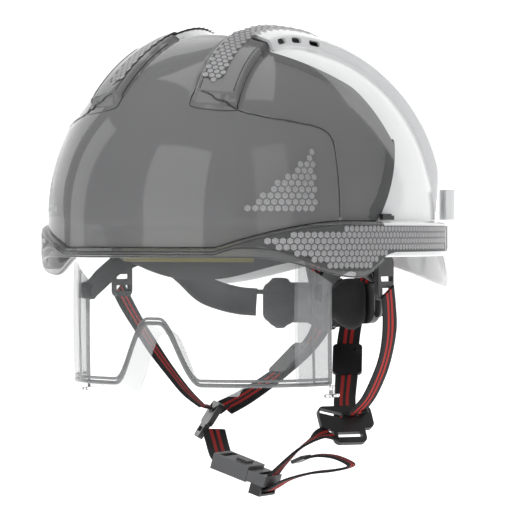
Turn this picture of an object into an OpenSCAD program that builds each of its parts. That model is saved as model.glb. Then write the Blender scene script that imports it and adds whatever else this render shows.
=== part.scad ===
// Safety helmet with a smoke front cover, a clear short peak, a retracting clear
// eye lens, a ratchet headband and a four-point chin harness.
// Millimetres. +Z is up, the wearer faces -Y and the wearer's left is +X.
// The origin is the centre of the headband, level with the lower edge of the rim.

/* [Shell] */
// Half width of the dome at the rim
shell_b = 105; // [104:0.5:107]
// Half length of the dome at the rim
shell_a = 130; // [129:0.5:133]
// Height of the dome above the rim line
shell_h = 116; // [115:0.5:119]
// Thickness of the moulded shell
shell_t = 2.6; // [2.2:0.1:3]
// How far the rim band stands out from the dome
band_out = 7.2; // [6.4:0.1:8]
// Height of the two raised vent ridges
ridge_h = 5.2; // [4:0.1:6]

/* [Front cover and peak] */
// Thickness of the smoke cover
cover_t = 2; // [1.6:0.1:2.2]
// Depth of the side lobes of the clear peak below the rim
lobe_depth = 12; // [8:0.5:13]

/* [Eye lens] */
// Half width of the lens
lens_b = 88; // [87:0.5:88.5]
// Distance from the origin to the front of the lens
lens_front = 112; // [110:0.5:112.5]
// Wall of the lens
lens_t = 2.2; // [1.8:0.1:2.4]
// Height of the nose notch
notch_h = 36; // [30:1:38]

/* [Harness] */
// Half width of the headband
head_b = 73; // [70:0.5:73.5]
// Half length of the headband
head_a = 88; // [86:0.5:89]
// Width of the webbing
web_w = 15; // [13:0.5:16]
// Thickness of the webbing
web_t = 1.6; // [1.2:0.1:1.8]
// Radius of the ratchet knob
knob_r = 17; // [15:0.5:18]

/* [Hidden] */

$fn = 48;
plan_p = 2.4;             // squareness of the dome in plan
dome_n = 2.1;             // fullness of the dome in profile
rim_z = 22;               // height where the dome starts to curve in
gutter_z = 21.6;          // top of the rim band at the sides and rear
band_start = 75;          // angle from the front where the white band begins
gap = 0.35;               // clearance between skins that lie on one another
lens_p = 2.8;             // squareness of the lens in plan
lens_c = -20;             // Y of the centre of the lens plan
lens_low = -76;           // lower edge of the lens
lens_span = 77;           // plan angle of the ends of the lens
arm_pivot = [14, 1];      // Y and Z of the pivot of the visor arms
lens_pin = [-58, -21];    // Y and Z of the pin between arm and lens
arm_x = 77;               // inner face of a visor arm
arm_t = 3.6;              // thickness of a visor arm
pin_r = 2.5;              // radius of both visor pins
run = 0.06;               // radial running clearance
knob_z = -31;             // height of the knob's axis
gear_r = 4;               // pitch radius of the pinion
rack_travel = PI * gear_r;
buckle_at = [5, -10, -132];
buckle_tilt = 17;         // slope of the chin buckle
yb_at = [48, 38, -104];   // centre of the left Y buckle

// ---- vectors and curves ----
function unit(v) = v / norm(v);
function spow(v, e) = sign(v) * pow(abs(v), e);
function clamp(v, lo = 0, hi = 1) = max(lo, min(hi, v));
function smooth(v) = let (s = clamp(v)) s * s * (3 - 2 * s);
function half_cos(v) = (1 - cos(180 * clamp(v))) / 2;
// Point at parameter t on the Catmull-Rom curve through four neighbours
function spline4(a, b, c, d, t) =
    0.5 * (2 * b + (c - a) * t + (2 * a - 5 * b + 4 * c - d) * t * t + (3 * b - a - 3 * c + d) * t * t * t);
function curve(pts, n = 4) = let (m = len(pts) - 1) [
    for (i = [0:m - 1], k = [0:n - 1])
        spline4(pts[max(i - 1, 0)], pts[i], pts[i + 1], pts[min(i + 2, m)], k / n),
    pts[m]];

// ---- closed solids from rings of points ----
module skin(rings, loop = false) {
    n = len(rings[0]);
    m = len(rings);
    last = loop ? m : m - 1;
    sides = [for (i = [0:last - 1], j = [0:n - 1]) let (
        a = i * n + j, b = i * n + (j + 1) % n,
        c = ((i + 1) % m) * n + (j + 1) % n, d = ((i + 1) % m) * n + j)
        each [[a, b, c], [a, c, d]]];
    caps = loop ? [] : [[for (j = [n - 1:-1:0]) j], [for (j = [0:n - 1]) (m - 1) * n + j]];
    polyhedron([for (r = rings) each r], concat(sides, caps));
}
// A skin turned inside out, for rings that run the other way
module skin_back(rings, loop = false) {
    skin([for (r = rings) [for (j = [len(r) - 1:-1:0]) r[j]]], loop);
}
// A strap: a flat section swept along pts, with a width direction at each point
module ribbon(pts, across, w, t, n = 4) {
    p = curve(pts, n);
    d = curve(across, n);
    m = len(p) - 1;
    skin_back([for (i = [0:m]) let (
        tan = unit(p[min(i + 1, m)] - p[max(i - 1, 0)]),
        side = unit(d[i] - (d[i] * tan) * tan),
        up = cross(tan, side))
        [p[i] - side * w / 2 - up * t / 2, p[i] + side * w / 2 - up * t / 2,
         p[i] + side * w / 2 + up * t / 2, p[i] - side * w / 2 + up * t / 2]]);
}
module both_sides() {
    children();
    mirror([1, 0, 0]) children();
}
// A slab with rounded corners, w along X and d along Y
module slab(w, d, h, r) {
    linear_extrude(h) rounded(w, d, r);
}
module rounded(w, d, r) {
    square([w - 2 * r, d], center = true);
    square([w, d - 2 * r], center = true);
    for (x = [-1, 1], y = [-1, 1]) translate([x * (w / 2 - r), y * (d / 2 - r)]) circle(r);
}

// ---- surface of the dome ----
// Radius of the plan outline in the direction t, measured from +X toward +Y
function plan_r(t, off = 0) = 1 / pow(
    pow(abs(cos(t)) / (shell_b + off), plan_p) + pow(abs(sin(t)) / (shell_a + off), plan_p), 1 / plan_p);
// A point on the upright wall below the rim line
function wall_pt(t, off, z) = let (r = plan_r(t, off)) [r * cos(t), r * sin(t), z];
// A point on the dome, at e from 0 at the rim line to 90 at the crown
function dome_pt(t, e, off = 0) = let (r = plan_r(t, off) * pow(cos(e), 2 / dome_n))
    [r * cos(t), r * sin(t), rim_z + (shell_h + off) * pow(sin(e), 2 / dome_n)];
// The dome's angle e at a height z
function dome_e(z) = z <= rim_z ? 0 : asin(pow(clamp((z - rim_z) / shell_h), dome_n / 2));
// A point on the wall or dome at a height
function skin_pt(t, z, off = 0) = z <= rim_z ? wall_pt(t, off, z) : dome_pt(t, dome_e(z), off);
// Share of the plan outline that a plan position fills, 1 at the rim
function plan_share(x, y) =
    pow(pow(abs(x) / shell_b, plan_p) + pow(abs(y) / shell_a, plan_p), 1 / plan_p);
function dome_z(x, y) =
    rim_z + shell_h * pow(max(0, 1 - pow(plan_share(x, y), dome_n)), 1 / dome_n);
// Outward normal of the dome at a point on it
function dome_n_at(p) = let (
    s = max(plan_share(p[0], p[1]), 0.001),
    g = pow(s, dome_n - plan_p),
    gx = g * spow(p[0] / shell_b, plan_p - 1) / shell_b,
    gy = g * spow(p[1] / shell_a, plan_p - 1) / shell_a,
    gz = pow(max(p[2] - rim_z, 0) / shell_h, dome_n - 1) / shell_h)
    unit([gx, gy, gz]);

// ---- rim outlines, by the angle phi from straight ahead ----
function phi_of(t) = let (u = (t + 450) % 360) u > 180 ? 360 - u : u;
function front_gutter(phi) = let (s = clamp((phi - 22) / 38)) 6 + 15.6 * (1 - (1 - s) * (1 - s));
function lobe_z(phi) = phi < 63
    ? -lobe_depth * half_cos((phi - 30) / 33)
    : -lobe_depth * (1 - half_cos((phi - 63) / 17));
// Nape skirt, by the angle psi from straight behind
function skirt(psi) = psi < 40
    ? 4 + 16 * half_cos(psi / 40)
    : max(0, 20 * (1 - (psi - 40) / 12));
function rear_low(t) = -skirt(180 - phi_of(t));
function flare(t) = skirt(180 - phi_of(t)) * 0.2;

// ---- ridges ----
// Plan path of the left ridge, s from 0 at the front nose to 1 at the rear
ridge_front = -104;
ridge_len = 184;
ridge_turn = 0.375;
ridge_split = 0.312;      // where the cover's ridge meets the shell's
ridge_base = -0.48;       // feet of the shell's ridges, just clear of the dome falling away beside them
function ridge_xy(s) = [s < ridge_turn
    ? 31 + 7 * pow((ridge_turn - s) / ridge_turn, 2)
    : 31 + 54 * pow((s - ridge_turn) / (1 - ridge_turn), 2),
    ridge_front + ridge_len * s];
function ridge_at(s) = s <= 1
    ? let (q = ridge_xy(s)) [q[0], q[1], dome_z(q[0], q[1])]
    : let (q = ridge_xy(1), t = atan2(q[1], q[0]), z1 = dome_z(q[0], q[1]))
        skin_pt(t, z1 - (z1 - 26) * (s - 1) / 0.2);
// Height of the ridge along its path, with a blunt nose and a fading tail
function ridge_rise(s) = smooth((s + 0.005) / 0.04) * smooth((1.22 - s) / 0.25);
// Frame of the ridge: point, side direction and outward direction
function ridge_frame(s) = let (
    p = ridge_at(s), n = dome_n_at(p),
    tan = unit(ridge_at(min(s + 0.02, 1.2)) - ridge_at(max(s - 0.02, 0))),
    side = unit(cross(n, tan)))
    [p, side, n];
// One cross-section: a channel open underneath, with sloping flanks and a wall of ridge_t
ridge_t = 1.8;
function ridge_ring(s, foot, top, low, high) = let (
    f = ridge_frame(s), h = low + 1.6 + (high - low - 1.6) * ridge_rise(s), t = ridge_t,
    prof = [[-foot, low], [1 - foot, low + 1.6], [-top, h], [top, h], [foot - 1, low + 1.6], [foot, low],
            [foot - t, low], [foot - 1 - t, low + 1.2], [top - t / 2, h - t + 0.6], [t / 2 - top, h - t + 0.6],
            [1 + t - foot, low + 1.2], [t - foot, low]])
    [for (q = prof) f[0] + f[1] * q[0] + f[2] * q[1]];
module ridge(foot, top, low, high, s0, s1, n) {
    skin([for (i = [0:n]) ridge_ring(s0 + (s1 - s0) * i / n, foot, top, low, high)]);
}
// Places children on the ridge, X across it, Y along it and Z outward
module on_ridge(s, across, out) {
    f = ridge_frame(s);
    y = cross(f[2], f[1]);
    p = f[0] + f[1] * across + f[2] * out;
    multmatrix([[f[1][0], y[0], f[2][0], p[0]],
                [f[1][1], y[1], f[2][1], p[1]],
                [f[1][2], y[2], f[2][2], p[2]], [0, 0, 0, 1]]) children();
}

// ---- shell ----
rear_dirs = [for (t = [-15:6:195]) t];
front_dirs = [for (i = [0:22]) 196 + i * 148 / 22];
shell_dirs = concat(rear_dirs, front_dirs);
function banded(t) = phi_of(t) > band_start - 1 ? (t >= 196 && t <= 344 ? 0 : 1) : 0;
dome_steps = [83, 74, 64, 54, 44, 34, 24, 15, 7, 0];
module shell_body() {
    outer = [for (e = dome_steps) [for (t = shell_dirs) dome_pt(t, e)]];
    rim = [for (k = [0:9]) [for (t = shell_dirs) let (
        b = banded(t), low = rear_low(t), f = flare(t), g = gutter_z)
        k == 0 ? wall_pt(t, 0, g)
        : k == 1 ? wall_pt(t, 5 * b, g - 0.6)
        : k == 2 ? wall_pt(t, band_out * b, g - 1.2 - 1.8 * b)
        : k == 3 ? wall_pt(t, band_out * b, b == 1 ? 2.6 : g - 1.5)
        : k == 4 ? wall_pt(t, (band_out + f) * b, b == 1 ? low + 1 : g - 1.8)
        : k == 5 ? wall_pt(t, (band_out - 0.8 + f) * b, b == 1 ? low : g - 2.4)
        : k == 6 ? wall_pt(t, b == 1 ? band_out - 2.6 + f : -shell_t, b == 1 ? low : g - 2.4)
        : k == 7 ? wall_pt(t, b == 1 ? band_out - 3.2 : -shell_t, b == 1 ? 2.2 : g - 1.8)
        : k == 8 ? wall_pt(t, b == 1 ? band_out - 3.4 : -shell_t, g - 1.2 - 3 * b)
        : wall_pt(t, -shell_t, g - 0.6 - 2 * b)]];
    inner = [for (i = [len(dome_steps) - 1:-1:0]) [for (t = shell_dirs) dome_pt(t, dome_steps[i], -shell_t)]];
    skin(concat(outer, rim, inner));
}
vent_at = [0.384, 0.48, 0.577];
module vent_slot(s) {
    on_ridge(s, -11.6, 2.4) rotate([0, -60, 0]) translate([0, 0, -4]) slab(3.4, 9, 8, 1.5);
}
module shell() {
    color("white") shell_body();
}
// Raised trim over the vents, from the cover's upper edge to the rear of the rim
module vent_ridge() {
    difference() {
        ridge(14, 10, ridge_base, ridge_h, ridge_split, 1.19, 18);
        for (s = vent_at) vent_slot(s);
    }
}
module vent_ridge_left() { color("white") vent_ridge(); }
module vent_ridge_right() { color("white") mirror([1, 0, 0]) vent_ridge(); }

// ---- front cover ----
// Upper edge of the smoke cover, as a height, by the angle from straight ahead
function cover_top(phi) = 131 - 27 * pow(phi / 80, 2) - 32 * pow(max(0, phi - 78) / 16, 2);
function cover_low(phi) = phi < 74 ? front_gutter(phi) + 0.4 : 22 + 49 * pow((phi - 74) / 20, 1.2);
cover_end = 93;
module front_cover() {
    cols = 44;
    rows = 10;
    in = gap;
    out = gap + cover_t;
    color([0.3, 0.31, 0.32, 0.7]) {
        skin([for (i = [0:cols]) let (
            phi = -cover_end + 2 * cover_end * i / cols, a = abs(phi), t = phi - 90,
            lo = cover_low(a), hi = max(cover_top(a), lo + 2))
            concat([for (k = [0:rows]) skin_pt(t, lo + (hi - lo) * sin(90 * k / rows), out)],
                   [for (k = [rows:-1:0]) skin_pt(t, lo + (hi - lo) * sin(90 * k / rows), in)])]);
        // the cover's own ridge, over the front of the shell's
        both_sides() ridge(14.5, 10.6, out + 0.2, ridge_h + cover_t, 0, ridge_split - 0.005, 7);
    }
}

// ---- peak ----
module peak() {
    steps = 60;
    span = band_start - 1.2;
    color([0.85, 0.87, 0.88, 0.5]) skin([for (i = [0:steps]) let (
        phi = -span + 2 * span * i / steps, a = abs(phi), t = phi - 90,
        g = front_gutter(a), low = lobe_z(a), o = band_out)
        [wall_pt(t, gap, g), wall_pt(t, gap, g - 2.6), wall_pt(t, 3, g - 2.9), wall_pt(t, o - 3, g - 4),
         wall_pt(t, o - 3, low + 0.6), wall_pt(t, o - 2.4, low), wall_pt(t, o - 0.8, low),
         wall_pt(t, o, low + 1), wall_pt(t, o, g - 2.4), wall_pt(t, o - 2.6, g - 0.5)]]);
}

// ---- small parts on the shell ----
// A curved plate on the wall between two directions and two heights
module wall_plate(t0, t1, z0, z1, in, out, n = 4) {
    skin([for (i = [0:n]) let (t = t0 + (t1 - t0) * i / n)
        [wall_pt(t, in, z0), wall_pt(t, out, z0), wall_pt(t, out, z1), wall_pt(t, in, z1)]]);
}
module cover_clips() {
    color("#18181a") both_sides() {
        wall_plate(-14.5, -9.5, 22.2, 25.8, gap + cover_t + 0.25, 5.2);
        wall_plate(-8.5, -6.5, 22.2, 24.8, gap + cover_t + 0.25, 3.6);
    }
}
module lamp_clip() {
    plan = [[0.3, -7], [4.6, -7], [6.6, -5], [6.6, 5], [4.6, 7], [0.3, 7], [0.3, 3.6], [4, 3.6], [4, -3.6], [0.3, -3.6]];
    translate([92.6, 89.6, 22.6]) rotate([0, 0, 44]) translate([-2.4, 0, 0])
        linear_extrude(19) polygon(plan);
}
module lamp_clips() {
    color("gainsboro") both_sides() lamp_clip();
}

// ---- reflective decals: thin films on the skin ----
film = 0.3;
module film_patch(t_z, in, n = 5) {
    skin([for (c = t_z) concat(
        [for (k = [0:n]) skin_pt(c[0], c[1] + (c[2] - c[1]) * k / n, in + film)],
        [for (k = [n:-1:0]) skin_pt(c[0], c[1] + (c[2] - c[1]) * k / n, in)])]);
}
module ridge_decal() {
    n = 14;
    s0 = 0.05;
    s1 = 0.634;
    skin_back([for (i = [0:n]) let (
        s = s0 + (s1 - s0) * i / n, f = ridge_frame(s), w = 5.2 * sin(30 + 60 * smooth(i / 2)),
        h = (s < ridge_split ? ridge_h + cover_t : ridge_h) * ridge_rise(s) + 0.6, c = f[0] + f[1] * 4.2)
        [c - f[1] * w + f[2] * h, c + f[1] * w + f[2] * h,
         c + f[1] * w + f[2] * (h + film), c - f[1] * w + f[2] * (h + film)]]);
}
module brow_decal() {
    // a triangle with its point toward the brow, tallest at the side
    film_patch([for (i = [0:8]) let (s = i / 8) [-63 + 25 * s, 24.2, 25.2 + 36 * s]], gap + cover_t + 0.15);
}
module side_decal() {
    in = band_out + 0.2;
    skin([for (i = [0:20]) let (
        phi = 36 + 84 * i / 20, t = phi - 90,
        g = phi < band_start ? front_gutter(phi) - 5 : gutter_z - 5,
        lo = phi < 80 ? max(lobe_z(phi) + 4, -6) : 4,
        low = lo + (g - 0.8 - lo) * clamp((44 - phi) / 8))
        [wall_pt(t, in, low), wall_pt(t, in + film, low), wall_pt(t, in + film, g), wall_pt(t, in, g)]]);
}
module rear_decal() {
    in = band_out + 0.35;
    skin([for (i = [0:20]) let (t = 33 + 114 * i / 20)
        [wall_pt(t, in, 4), wall_pt(t, in + film, 4), wall_pt(t, in + film, gutter_z - 5), wall_pt(t, in, gutter_z - 5)]]);
}
module ridge_decal_left() { color("silver") ridge_decal(); }
module ridge_decal_right() { color("silver") mirror([1, 0, 0]) ridge_decal(); }
module brow_decal_left() { color("silver") brow_decal(); }
module brow_decal_right() { color("silver") mirror([1, 0, 0]) brow_decal(); }
module side_decal_left() { color("silver") side_decal(); }
module side_decal_right() { color("silver") mirror([1, 0, 0]) side_decal(); }

// ---- visor ----
// X-ward cylinder from x0 to x1 through a point given as Y and Z
module across_x(x0, x1, at, r) {
    translate([x0, at[0], at[1]]) rotate([0, 90, 0]) cylinder(r = r, h = x1 - x0);
}
bracket_x = arm_x + arm_t + 0.3;
module pivot_bracket() {
    // a plate beside the arm, with a lug up to the inside of the shell
    difference() {
        union() {
            across_x(bracket_x, bracket_x + 4, arm_pivot, 9);
            translate([bracket_x, arm_pivot[0] - 9, arm_pivot[1]]) cube([4, 18, 24]);
            translate([bracket_x, arm_pivot[0] - 9, 20]) cube([19.4, 18, 5]);
            for (y = [-9, 6]) translate([bracket_x, arm_pivot[0] + y, 12])
                rotate([90, 0, 0]) mirror([0, 0, 1]) linear_extrude(3) polygon([[4, 8.5], [4, -4], [16, 8.5]]);
        }
        across_x(bracket_x - 1, bracket_x + 5, arm_pivot, pin_r);
    }
}
module pivot_brackets() {
    color("#1c1c1e") both_sides() pivot_bracket();
}
module pivot_screws() {
    color("#8a8c90") both_sides() {
        difference() {
            union() {
                across_x(arm_x - 2, arm_x - 0.2, arm_pivot, 4.6);
                across_x(arm_x - 0.4, bracket_x + 4, arm_pivot, pin_r);
            }
            translate([arm_x - 2.2, arm_pivot[0] - 0.5, arm_pivot[1] - 3]) cube([1, 1, 6]);
        }
    }
}
module visor_arm() {
    // boss at the pivot, a dog-leg web and an eye for the lens pin
    y0 = arm_pivot[0];
    z0 = arm_pivot[1];
    y1 = lens_pin[0];
    z1 = lens_pin[1];
    web = [[y0 + 2, z0 + 7.5], [y0 - 18, z0 + 7], [y0 - 44, z0 - 1], [y1 + 9, z1 + 12], [y1 - 1, z1 + 5.4],
           [y1 - 3, z1 - 4.6], [y1 + 5, z1 - 3.4], [y1 + 14, z1 + 1], [y0 - 40, z0 - 12],
           [y0 - 18, z0 - 7], [y0 + 2, z0 - 7.5]];
    difference() {
        union() {
            across_x(arm_x, arm_x + arm_t, arm_pivot, 8);
            across_x(arm_x, arm_x + arm_t, lens_pin, 5.6);
            translate([arm_x, 0, 0]) rotate([90, 0, 90]) linear_extrude(arm_t) polygon(web);
            // stiffening rib along the outside
            translate([arm_x + arm_t, 0, 0]) rotate([90, 0, 90]) linear_extrude(1)
                polygon([[y0 - 20, z0 + 2.5], [y0 - 42, z0 - 4], [y0 - 42, z0 - 8], [y0 - 20, z0 - 3]]);
        }
        across_x(arm_x - 1, arm_x + arm_t + 1, arm_pivot, pin_r + run);
        across_x(arm_x - 1, arm_x + arm_t + 1, lens_pin, pin_r + run);
    }
}
module visor_arm_left() { color("#1a1a1c") visor_arm(); }
module visor_arm_right() { color("#1a1a1c") mirror([1, 0, 0]) visor_arm(); }

// Plan position on the lens, u from -lens_span to lens_span, drawn in by inset
function lens_xy(u, inset = 0) = [
    (lens_b - inset) * spow(sin(u), 2 / lens_p),
    lens_c - (lens_front + lens_c - inset) * pow(cos(u), 2 / lens_p)];
function lens_bottom(x) = lens_low + notch_h * (1 - half_cos((abs(x) - 4) / 26));
function lens_top(u) = 6 - 21 * pow(abs(u) / lens_span, 3);
// The lens bows back a little above and below its middle
function lens_bow(z) = 3 * pow((z + 33) / 39, 2);
function lens_pt(u, z, inset = 0) = let (q = lens_xy(u, inset)) [q[0], q[1] + lens_bow(z) * cos(u), z];
function lens_u(i, n) = sign(i) * lens_span * pow(abs(i) / n, 1.35);
module lens() {
    n = 24;
    rows = 6;
    color([0.9, 0.92, 0.94, 0.35]) skin([for (i = [-n:n]) let (
        u = lens_u(i, n), lo = lens_bottom(lens_xy(u)[0]), hi = lens_top(u))
        concat([for (k = [0:rows]) lens_pt(u, lo + (hi - lo) * k / rows)],
               [for (k = [rows:-1:0]) lens_pt(u, lo + (hi - lo) * k / rows, lens_t)])]);
}
module nose_guard() {
    // a flange that runs back from the lower edge, deepest beside the nose
    n = 18;
    span = 36;
    color([0.9, 0.92, 0.94, 0.35]) skin_back([for (i = [-n:n]) let (
        u = span * spow(i / n, 1.35), deep = 16 - 8 * pow(abs(i / n), 3),
        a = lens_pt(u, lens_bottom(lens_xy(u)[0]), lens_t + 0.15),
        back = [-a[0] * 0.12, deep, -6], q = a + back, up = [0, 0.5, 1.6])
        [a, q, q + up, a + [0, 0, 1.8]]]);
}
module lens_hinge() {
    // knuckle on the inside of the lens, with the pin that turns in the arm
    across_x(arm_x + arm_t + 0.25, arm_x + arm_t + 2.6, lens_pin, 5.3);
    across_x(arm_x - 0.6, arm_x + arm_t + 1, lens_pin, pin_r);
    across_x(arm_x - 1.7, arm_x - 0.25, lens_pin, 4);
}
module lens_hinge_left() { color("#151517") lens_hinge(); }
module lens_hinge_right() { color("#151517") mirror([1, 0, 0]) lens_hinge(); }
module lens_tab() {
    // finger tab: a post under the rear corner with a bar across its foot
    translate([84.4, -49, lens_low - 7]) {
        translate([0, -1.5, 1]) cube([2, 5, 5.9]);
        translate([1, 1, 0]) slab(5, 15, 2, 2);
    }
}
module lens_tab_left() { color([0.9, 0.92, 0.94, 0.5]) lens_tab(); }
module lens_tab_right() { color([0.9, 0.92, 0.94, 0.5]) mirror([1, 0, 0]) lens_tab(); }

// ---- headband and nape ----
function head_pt(t, z, off = 0) = [(head_b + off) * cos(t), (head_a + off) * sin(t), z];
// Lower and upper edges of the headband by the angle from straight ahead
function head_low(phi) = -2 - 14 * half_cos((phi - 60) / 60) + 12 * half_cos((phi - 125) / 50);
function head_high(phi) = 22 - 8 * half_cos((phi - 60) / 90);
module headband() {
    n = 60;
    color("#202124") skin([for (i = [0:n - 1]) let (t = i * 360 / n, f = phi_of(t))
        [head_pt(t, head_low(f)), head_pt(t, head_low(f), 1.5), head_pt(t, head_high(f), 1.5), head_pt(t, head_high(f))]],
        loop = true);
}
module brow_pad() {
    // a sleeve round the front of the headband
    n = 16;
    span = 38;
    color("#8a8248") skin([for (i = [0:n]) let (
        phi = -span + 2 * span * i / n, t = phi - 90, f = abs(phi),
        lo = head_low(f) - 1.6, hi = 16, o = 3.4)
        [head_pt(t, lo, -3.5), head_pt(t, lo, o), head_pt(t, hi, o), head_pt(t, hi, 1.9),
         head_pt(t, lo + 1.3, 1.9), head_pt(t, lo + 1.3, -0.4), head_pt(t, hi, -0.4), head_pt(t, hi, -3.5)]]);
}
// The nape arm drops from behind the ear to the cradle
arm_path = [[71, 27, -2], [66.5, 41, -12], [62, 53, -22], [56, 65, -27], [49, 77, -30], [42, 86.5, -31]];
arm_across = [[0, -12, 16], [0, -9, 18], [0, -4, 19], [0, -1, 19], [0, 0, 18], [0, 0, 17]];
module rear_arm() {
    ribbon([for (p = arm_path) p + [2.6, 1.2, 0]], arm_across, 18, 1.6, 3);
}
module rear_arm_left() { color("#232427") rear_arm(); }
module rear_arm_right() { color("#232427") mirror([1, 0, 0]) rear_arm(); }

module nape_cradle() {
    // a shallow housing across the nape, open at both ends for the racks
    color("#26272a") difference() {
        translate([0, 94, knob_z]) rotate([90, 0, 0]) translate([0, 0, -4]) union() {
            slab(82, 26, 8, 6);
            cylinder(r = 15, h = 8);
        }
        translate([-50, 92, knob_z - 8.5]) cube([100, 4.4, 17]);
        translate([0, 99, knob_z]) rotate([90, 0, 0]) cylinder(r = pin_r + run, h = 6);
    }
}
module nape_pad() {
    // dog-bone cushion on the front of the cradle
    color("#141416") translate([0, 89.4, knob_z]) rotate([90, 0, 0]) linear_extrude(6.5) {
        for (x = [-25.5, 25.5]) translate([x, 0]) rounded(26, 36, 9);
        square([40, 24], center = true);
    }
}
// Rack strip: a flat bar with teeth on the edge that faces the pinion
module rack(low) {
    y = low ? -1 : 1;
    translate([0, 93.2, knob_z]) {
        translate([low ? -22 : -48, 0, y > 0 ? gear_r + 1.1 : -gear_r - 4.1]) cube([70, 1.8, 3]);
        for (i = [-6:6]) translate([i * rack_travel / 5, 0, y * (gear_r + 1.2)])
            rotate([-90, 0, 0]) linear_extrude(1.8)
                polygon([[-0.75, -y * 0.2], [-0.3, y * 2], [0.3, y * 2], [0.75, -y * 0.2]]);
    }
}
module rack_left() { color("#3a3b3f") rack(true); }
module rack_right() { color("#3a3b3f") rack(false); }
module pinion() {
    color("#55575c") translate([0, 95.2, knob_z]) rotate([90, 0, 0]) difference() {
        union() {
            cylinder(r = gear_r - 1, h = 2.2);
            for (i = [0:9]) rotate([0, 0, i * 36]) linear_extrude(2.2)
                polygon([[gear_r - 1.4, -0.7], [gear_r + 0.75, -0.3], [gear_r + 0.75, 0.3], [gear_r - 1.4, 0.7]]);
        }
        translate([0, 0, -1]) cylinder(r = 1.5, h = 4);
    }
}
knob_y = 98.3;
module ratchet_knob() {
    // ribbed dial with a hollow back and a shaft into the pinion
    color("#1b1b1e") translate([0, knob_y, knob_z]) rotate([-90, 0, 0]) difference() {
        union() {
            cylinder(r = knob_r, h = 9);
            for (i = [0:17]) rotate([0, 0, i * 20]) translate([knob_r - 0.2, 0, 0.8]) cylinder(r = 1.3, h = 7.4, $fn = 16);
            translate([0, 0, -3]) cylinder(r = pin_r, h = 4);
        }
        translate([0, 0, 7.2]) cylinder(r = knob_r - 5, h = 3);
        translate([0, 0, -4]) cylinder(r = 1.5, h = 14);
    }
}
module knob_screw() {
    color("#9a9ca0") translate([0, knob_y, knob_z]) rotate([-90, 0, 0]) difference() {
        union() {
            translate([0, 0, 7.2]) cylinder(r = 3.6, h = 1.5);
            translate([0, 0, -5]) cylinder(r = 1.45, h = 13);
        }
        for (a = [0, 90]) rotate([0, 0, a]) translate([-2.2, -0.4, 8]) cube([4.4, 0.8, 1]);
    }
}

// ---- cradle ----
function cradle_pt(t, e) = let (q = pow(cos(e), 0.9))
    [(head_b + 8) * cos(t) * q, (head_a + 6) * sin(t) * q, 26 + 80 * pow(sin(e), 0.9)];
module cradle_strap(t, lift) {
    // runs from one clip over the crown to the clip opposite
    es = [4, 25, 50, 75, 90];
    pts = concat([for (e = es) cradle_pt(t, e) + [0, 0, lift * sin(e)]],
                 [for (i = [3:-1:0]) cradle_pt(t + 180, es[i]) + [0, 0, lift * sin(es[i])]]);
    ribbon(pts, [for (p = pts) [-sin(t), cos(t), 0]], 18, 1.2, 3);
}
module crown_strap_front() { color("#2a2a2d") cradle_strap(52, 2.4); }
module crown_strap_side() { color("#2a2a2d") cradle_strap(128, 0); }
module crown_pad() {
    color("#303034") translate([0, 0, 99.2]) cylinder(r = 26, h = 3.4);
}
clip_dirs = [52, 128, 232, 308];
module harness_clips() {
    // four keys pushed into the rim, each with a tongue for a cradle strap
    color("#1d1d20") for (t = clip_dirs) let (p = cradle_pt(t, 2), a = atan2(p[1], p[0]), r = norm([p[0], p[1]]))
        rotate([0, 0, a]) translate([r, 0, 0]) {
            translate([-2.4, -10, 6]) cube([2.6, 20, 20]);
            // the rear pair reach the shell; the front pair leave the lens its slot
            translate([0, -6, 8]) cube([a > 0 ? plan_r(a) - shell_t - r - 1.2 : 3, 12, 14]);
        }
}

// ---- hangers and webbing ----
module side_hanger() {
    // arm from under the rim to the slotted plate that holds the side strap
    difference() {
        union() {
            translate([92.6, 2, -13]) rotate([90, 0, 90]) slab(20, 26, 3, 4);
            translate([92.6, -8, -2]) cube([3, 12, 24]);
            translate([92.6, -8, 12]) cube([9.2, 11, 10]);
        }
        translate([91.6, -6.5, -23]) cube([5, 17, 4]);
        translate([91.6, -6.5, -15]) cube([5, 17, 3]);
    }
}
module side_hanger_left() { color("#242528") side_hanger(); }
module side_hanger_right() { color("#242528") mirror([1, 0, 0]) side_hanger(); }
module rear_hanger() {
    // bar behind the nape with a slot for each rear strap
    color("#242528") translate([0, 122, 4]) difference() {
        union() {
            rotate([90, 0, 0]) translate([0, 0, -1.5]) slab(66, 14, 3, 4);
            for (x = [-26, 14]) translate([x, -1.5, 3]) cube([12, 4.6, 20]);
        }
        for (x = [-22, 22]) translate([x - 8.6, -3, -4.4]) cube([17.2, 6, 3]);
    }
}
side_path = [[96.6, 2, -21], [94.5, 8, -31], [90, 17, -46], [84, 24, -60], [76, 30, -74], [66, 35, -88], [56, 38, -97]];
side_across = [[0, 10, 0], [0, 10, 1], [1, 10, 2], [1, 10, 2], [2, 10, 2], [2, 10, 1], [3, 10, 0]];
rear_path = [[22, 124.6, -1.2], [18, 123, -14], [13, 120.5, -30], [11, 115, -46], [15, 103, -61], [25, 83, -77],
    [36, 60, -91], [44, 46, -98]];
rear_across = [[10, 0, 0], [10, 0, 1], [10, 1, 2], [10, 3, 3], [9, 5, 3], [8, 6, 4], [8, 5, 5], [7, 5, 6]];
module side_strap() { ribbon(side_path, side_across, web_w, web_t, 3); }
module rear_strap() { ribbon(rear_path, rear_across, web_w, web_t, 3); }
module side_strap_left() { color("#1a1a1a") side_strap(); }
module side_strap_right() { color("#1a1a1a") mirror([1, 0, 0]) side_strap(); }
module rear_strap_left() { color("#1a1a1a") rear_strap(); }
module rear_strap_right() { color("#1a1a1a") mirror([1, 0, 0]) rear_strap(); }

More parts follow.
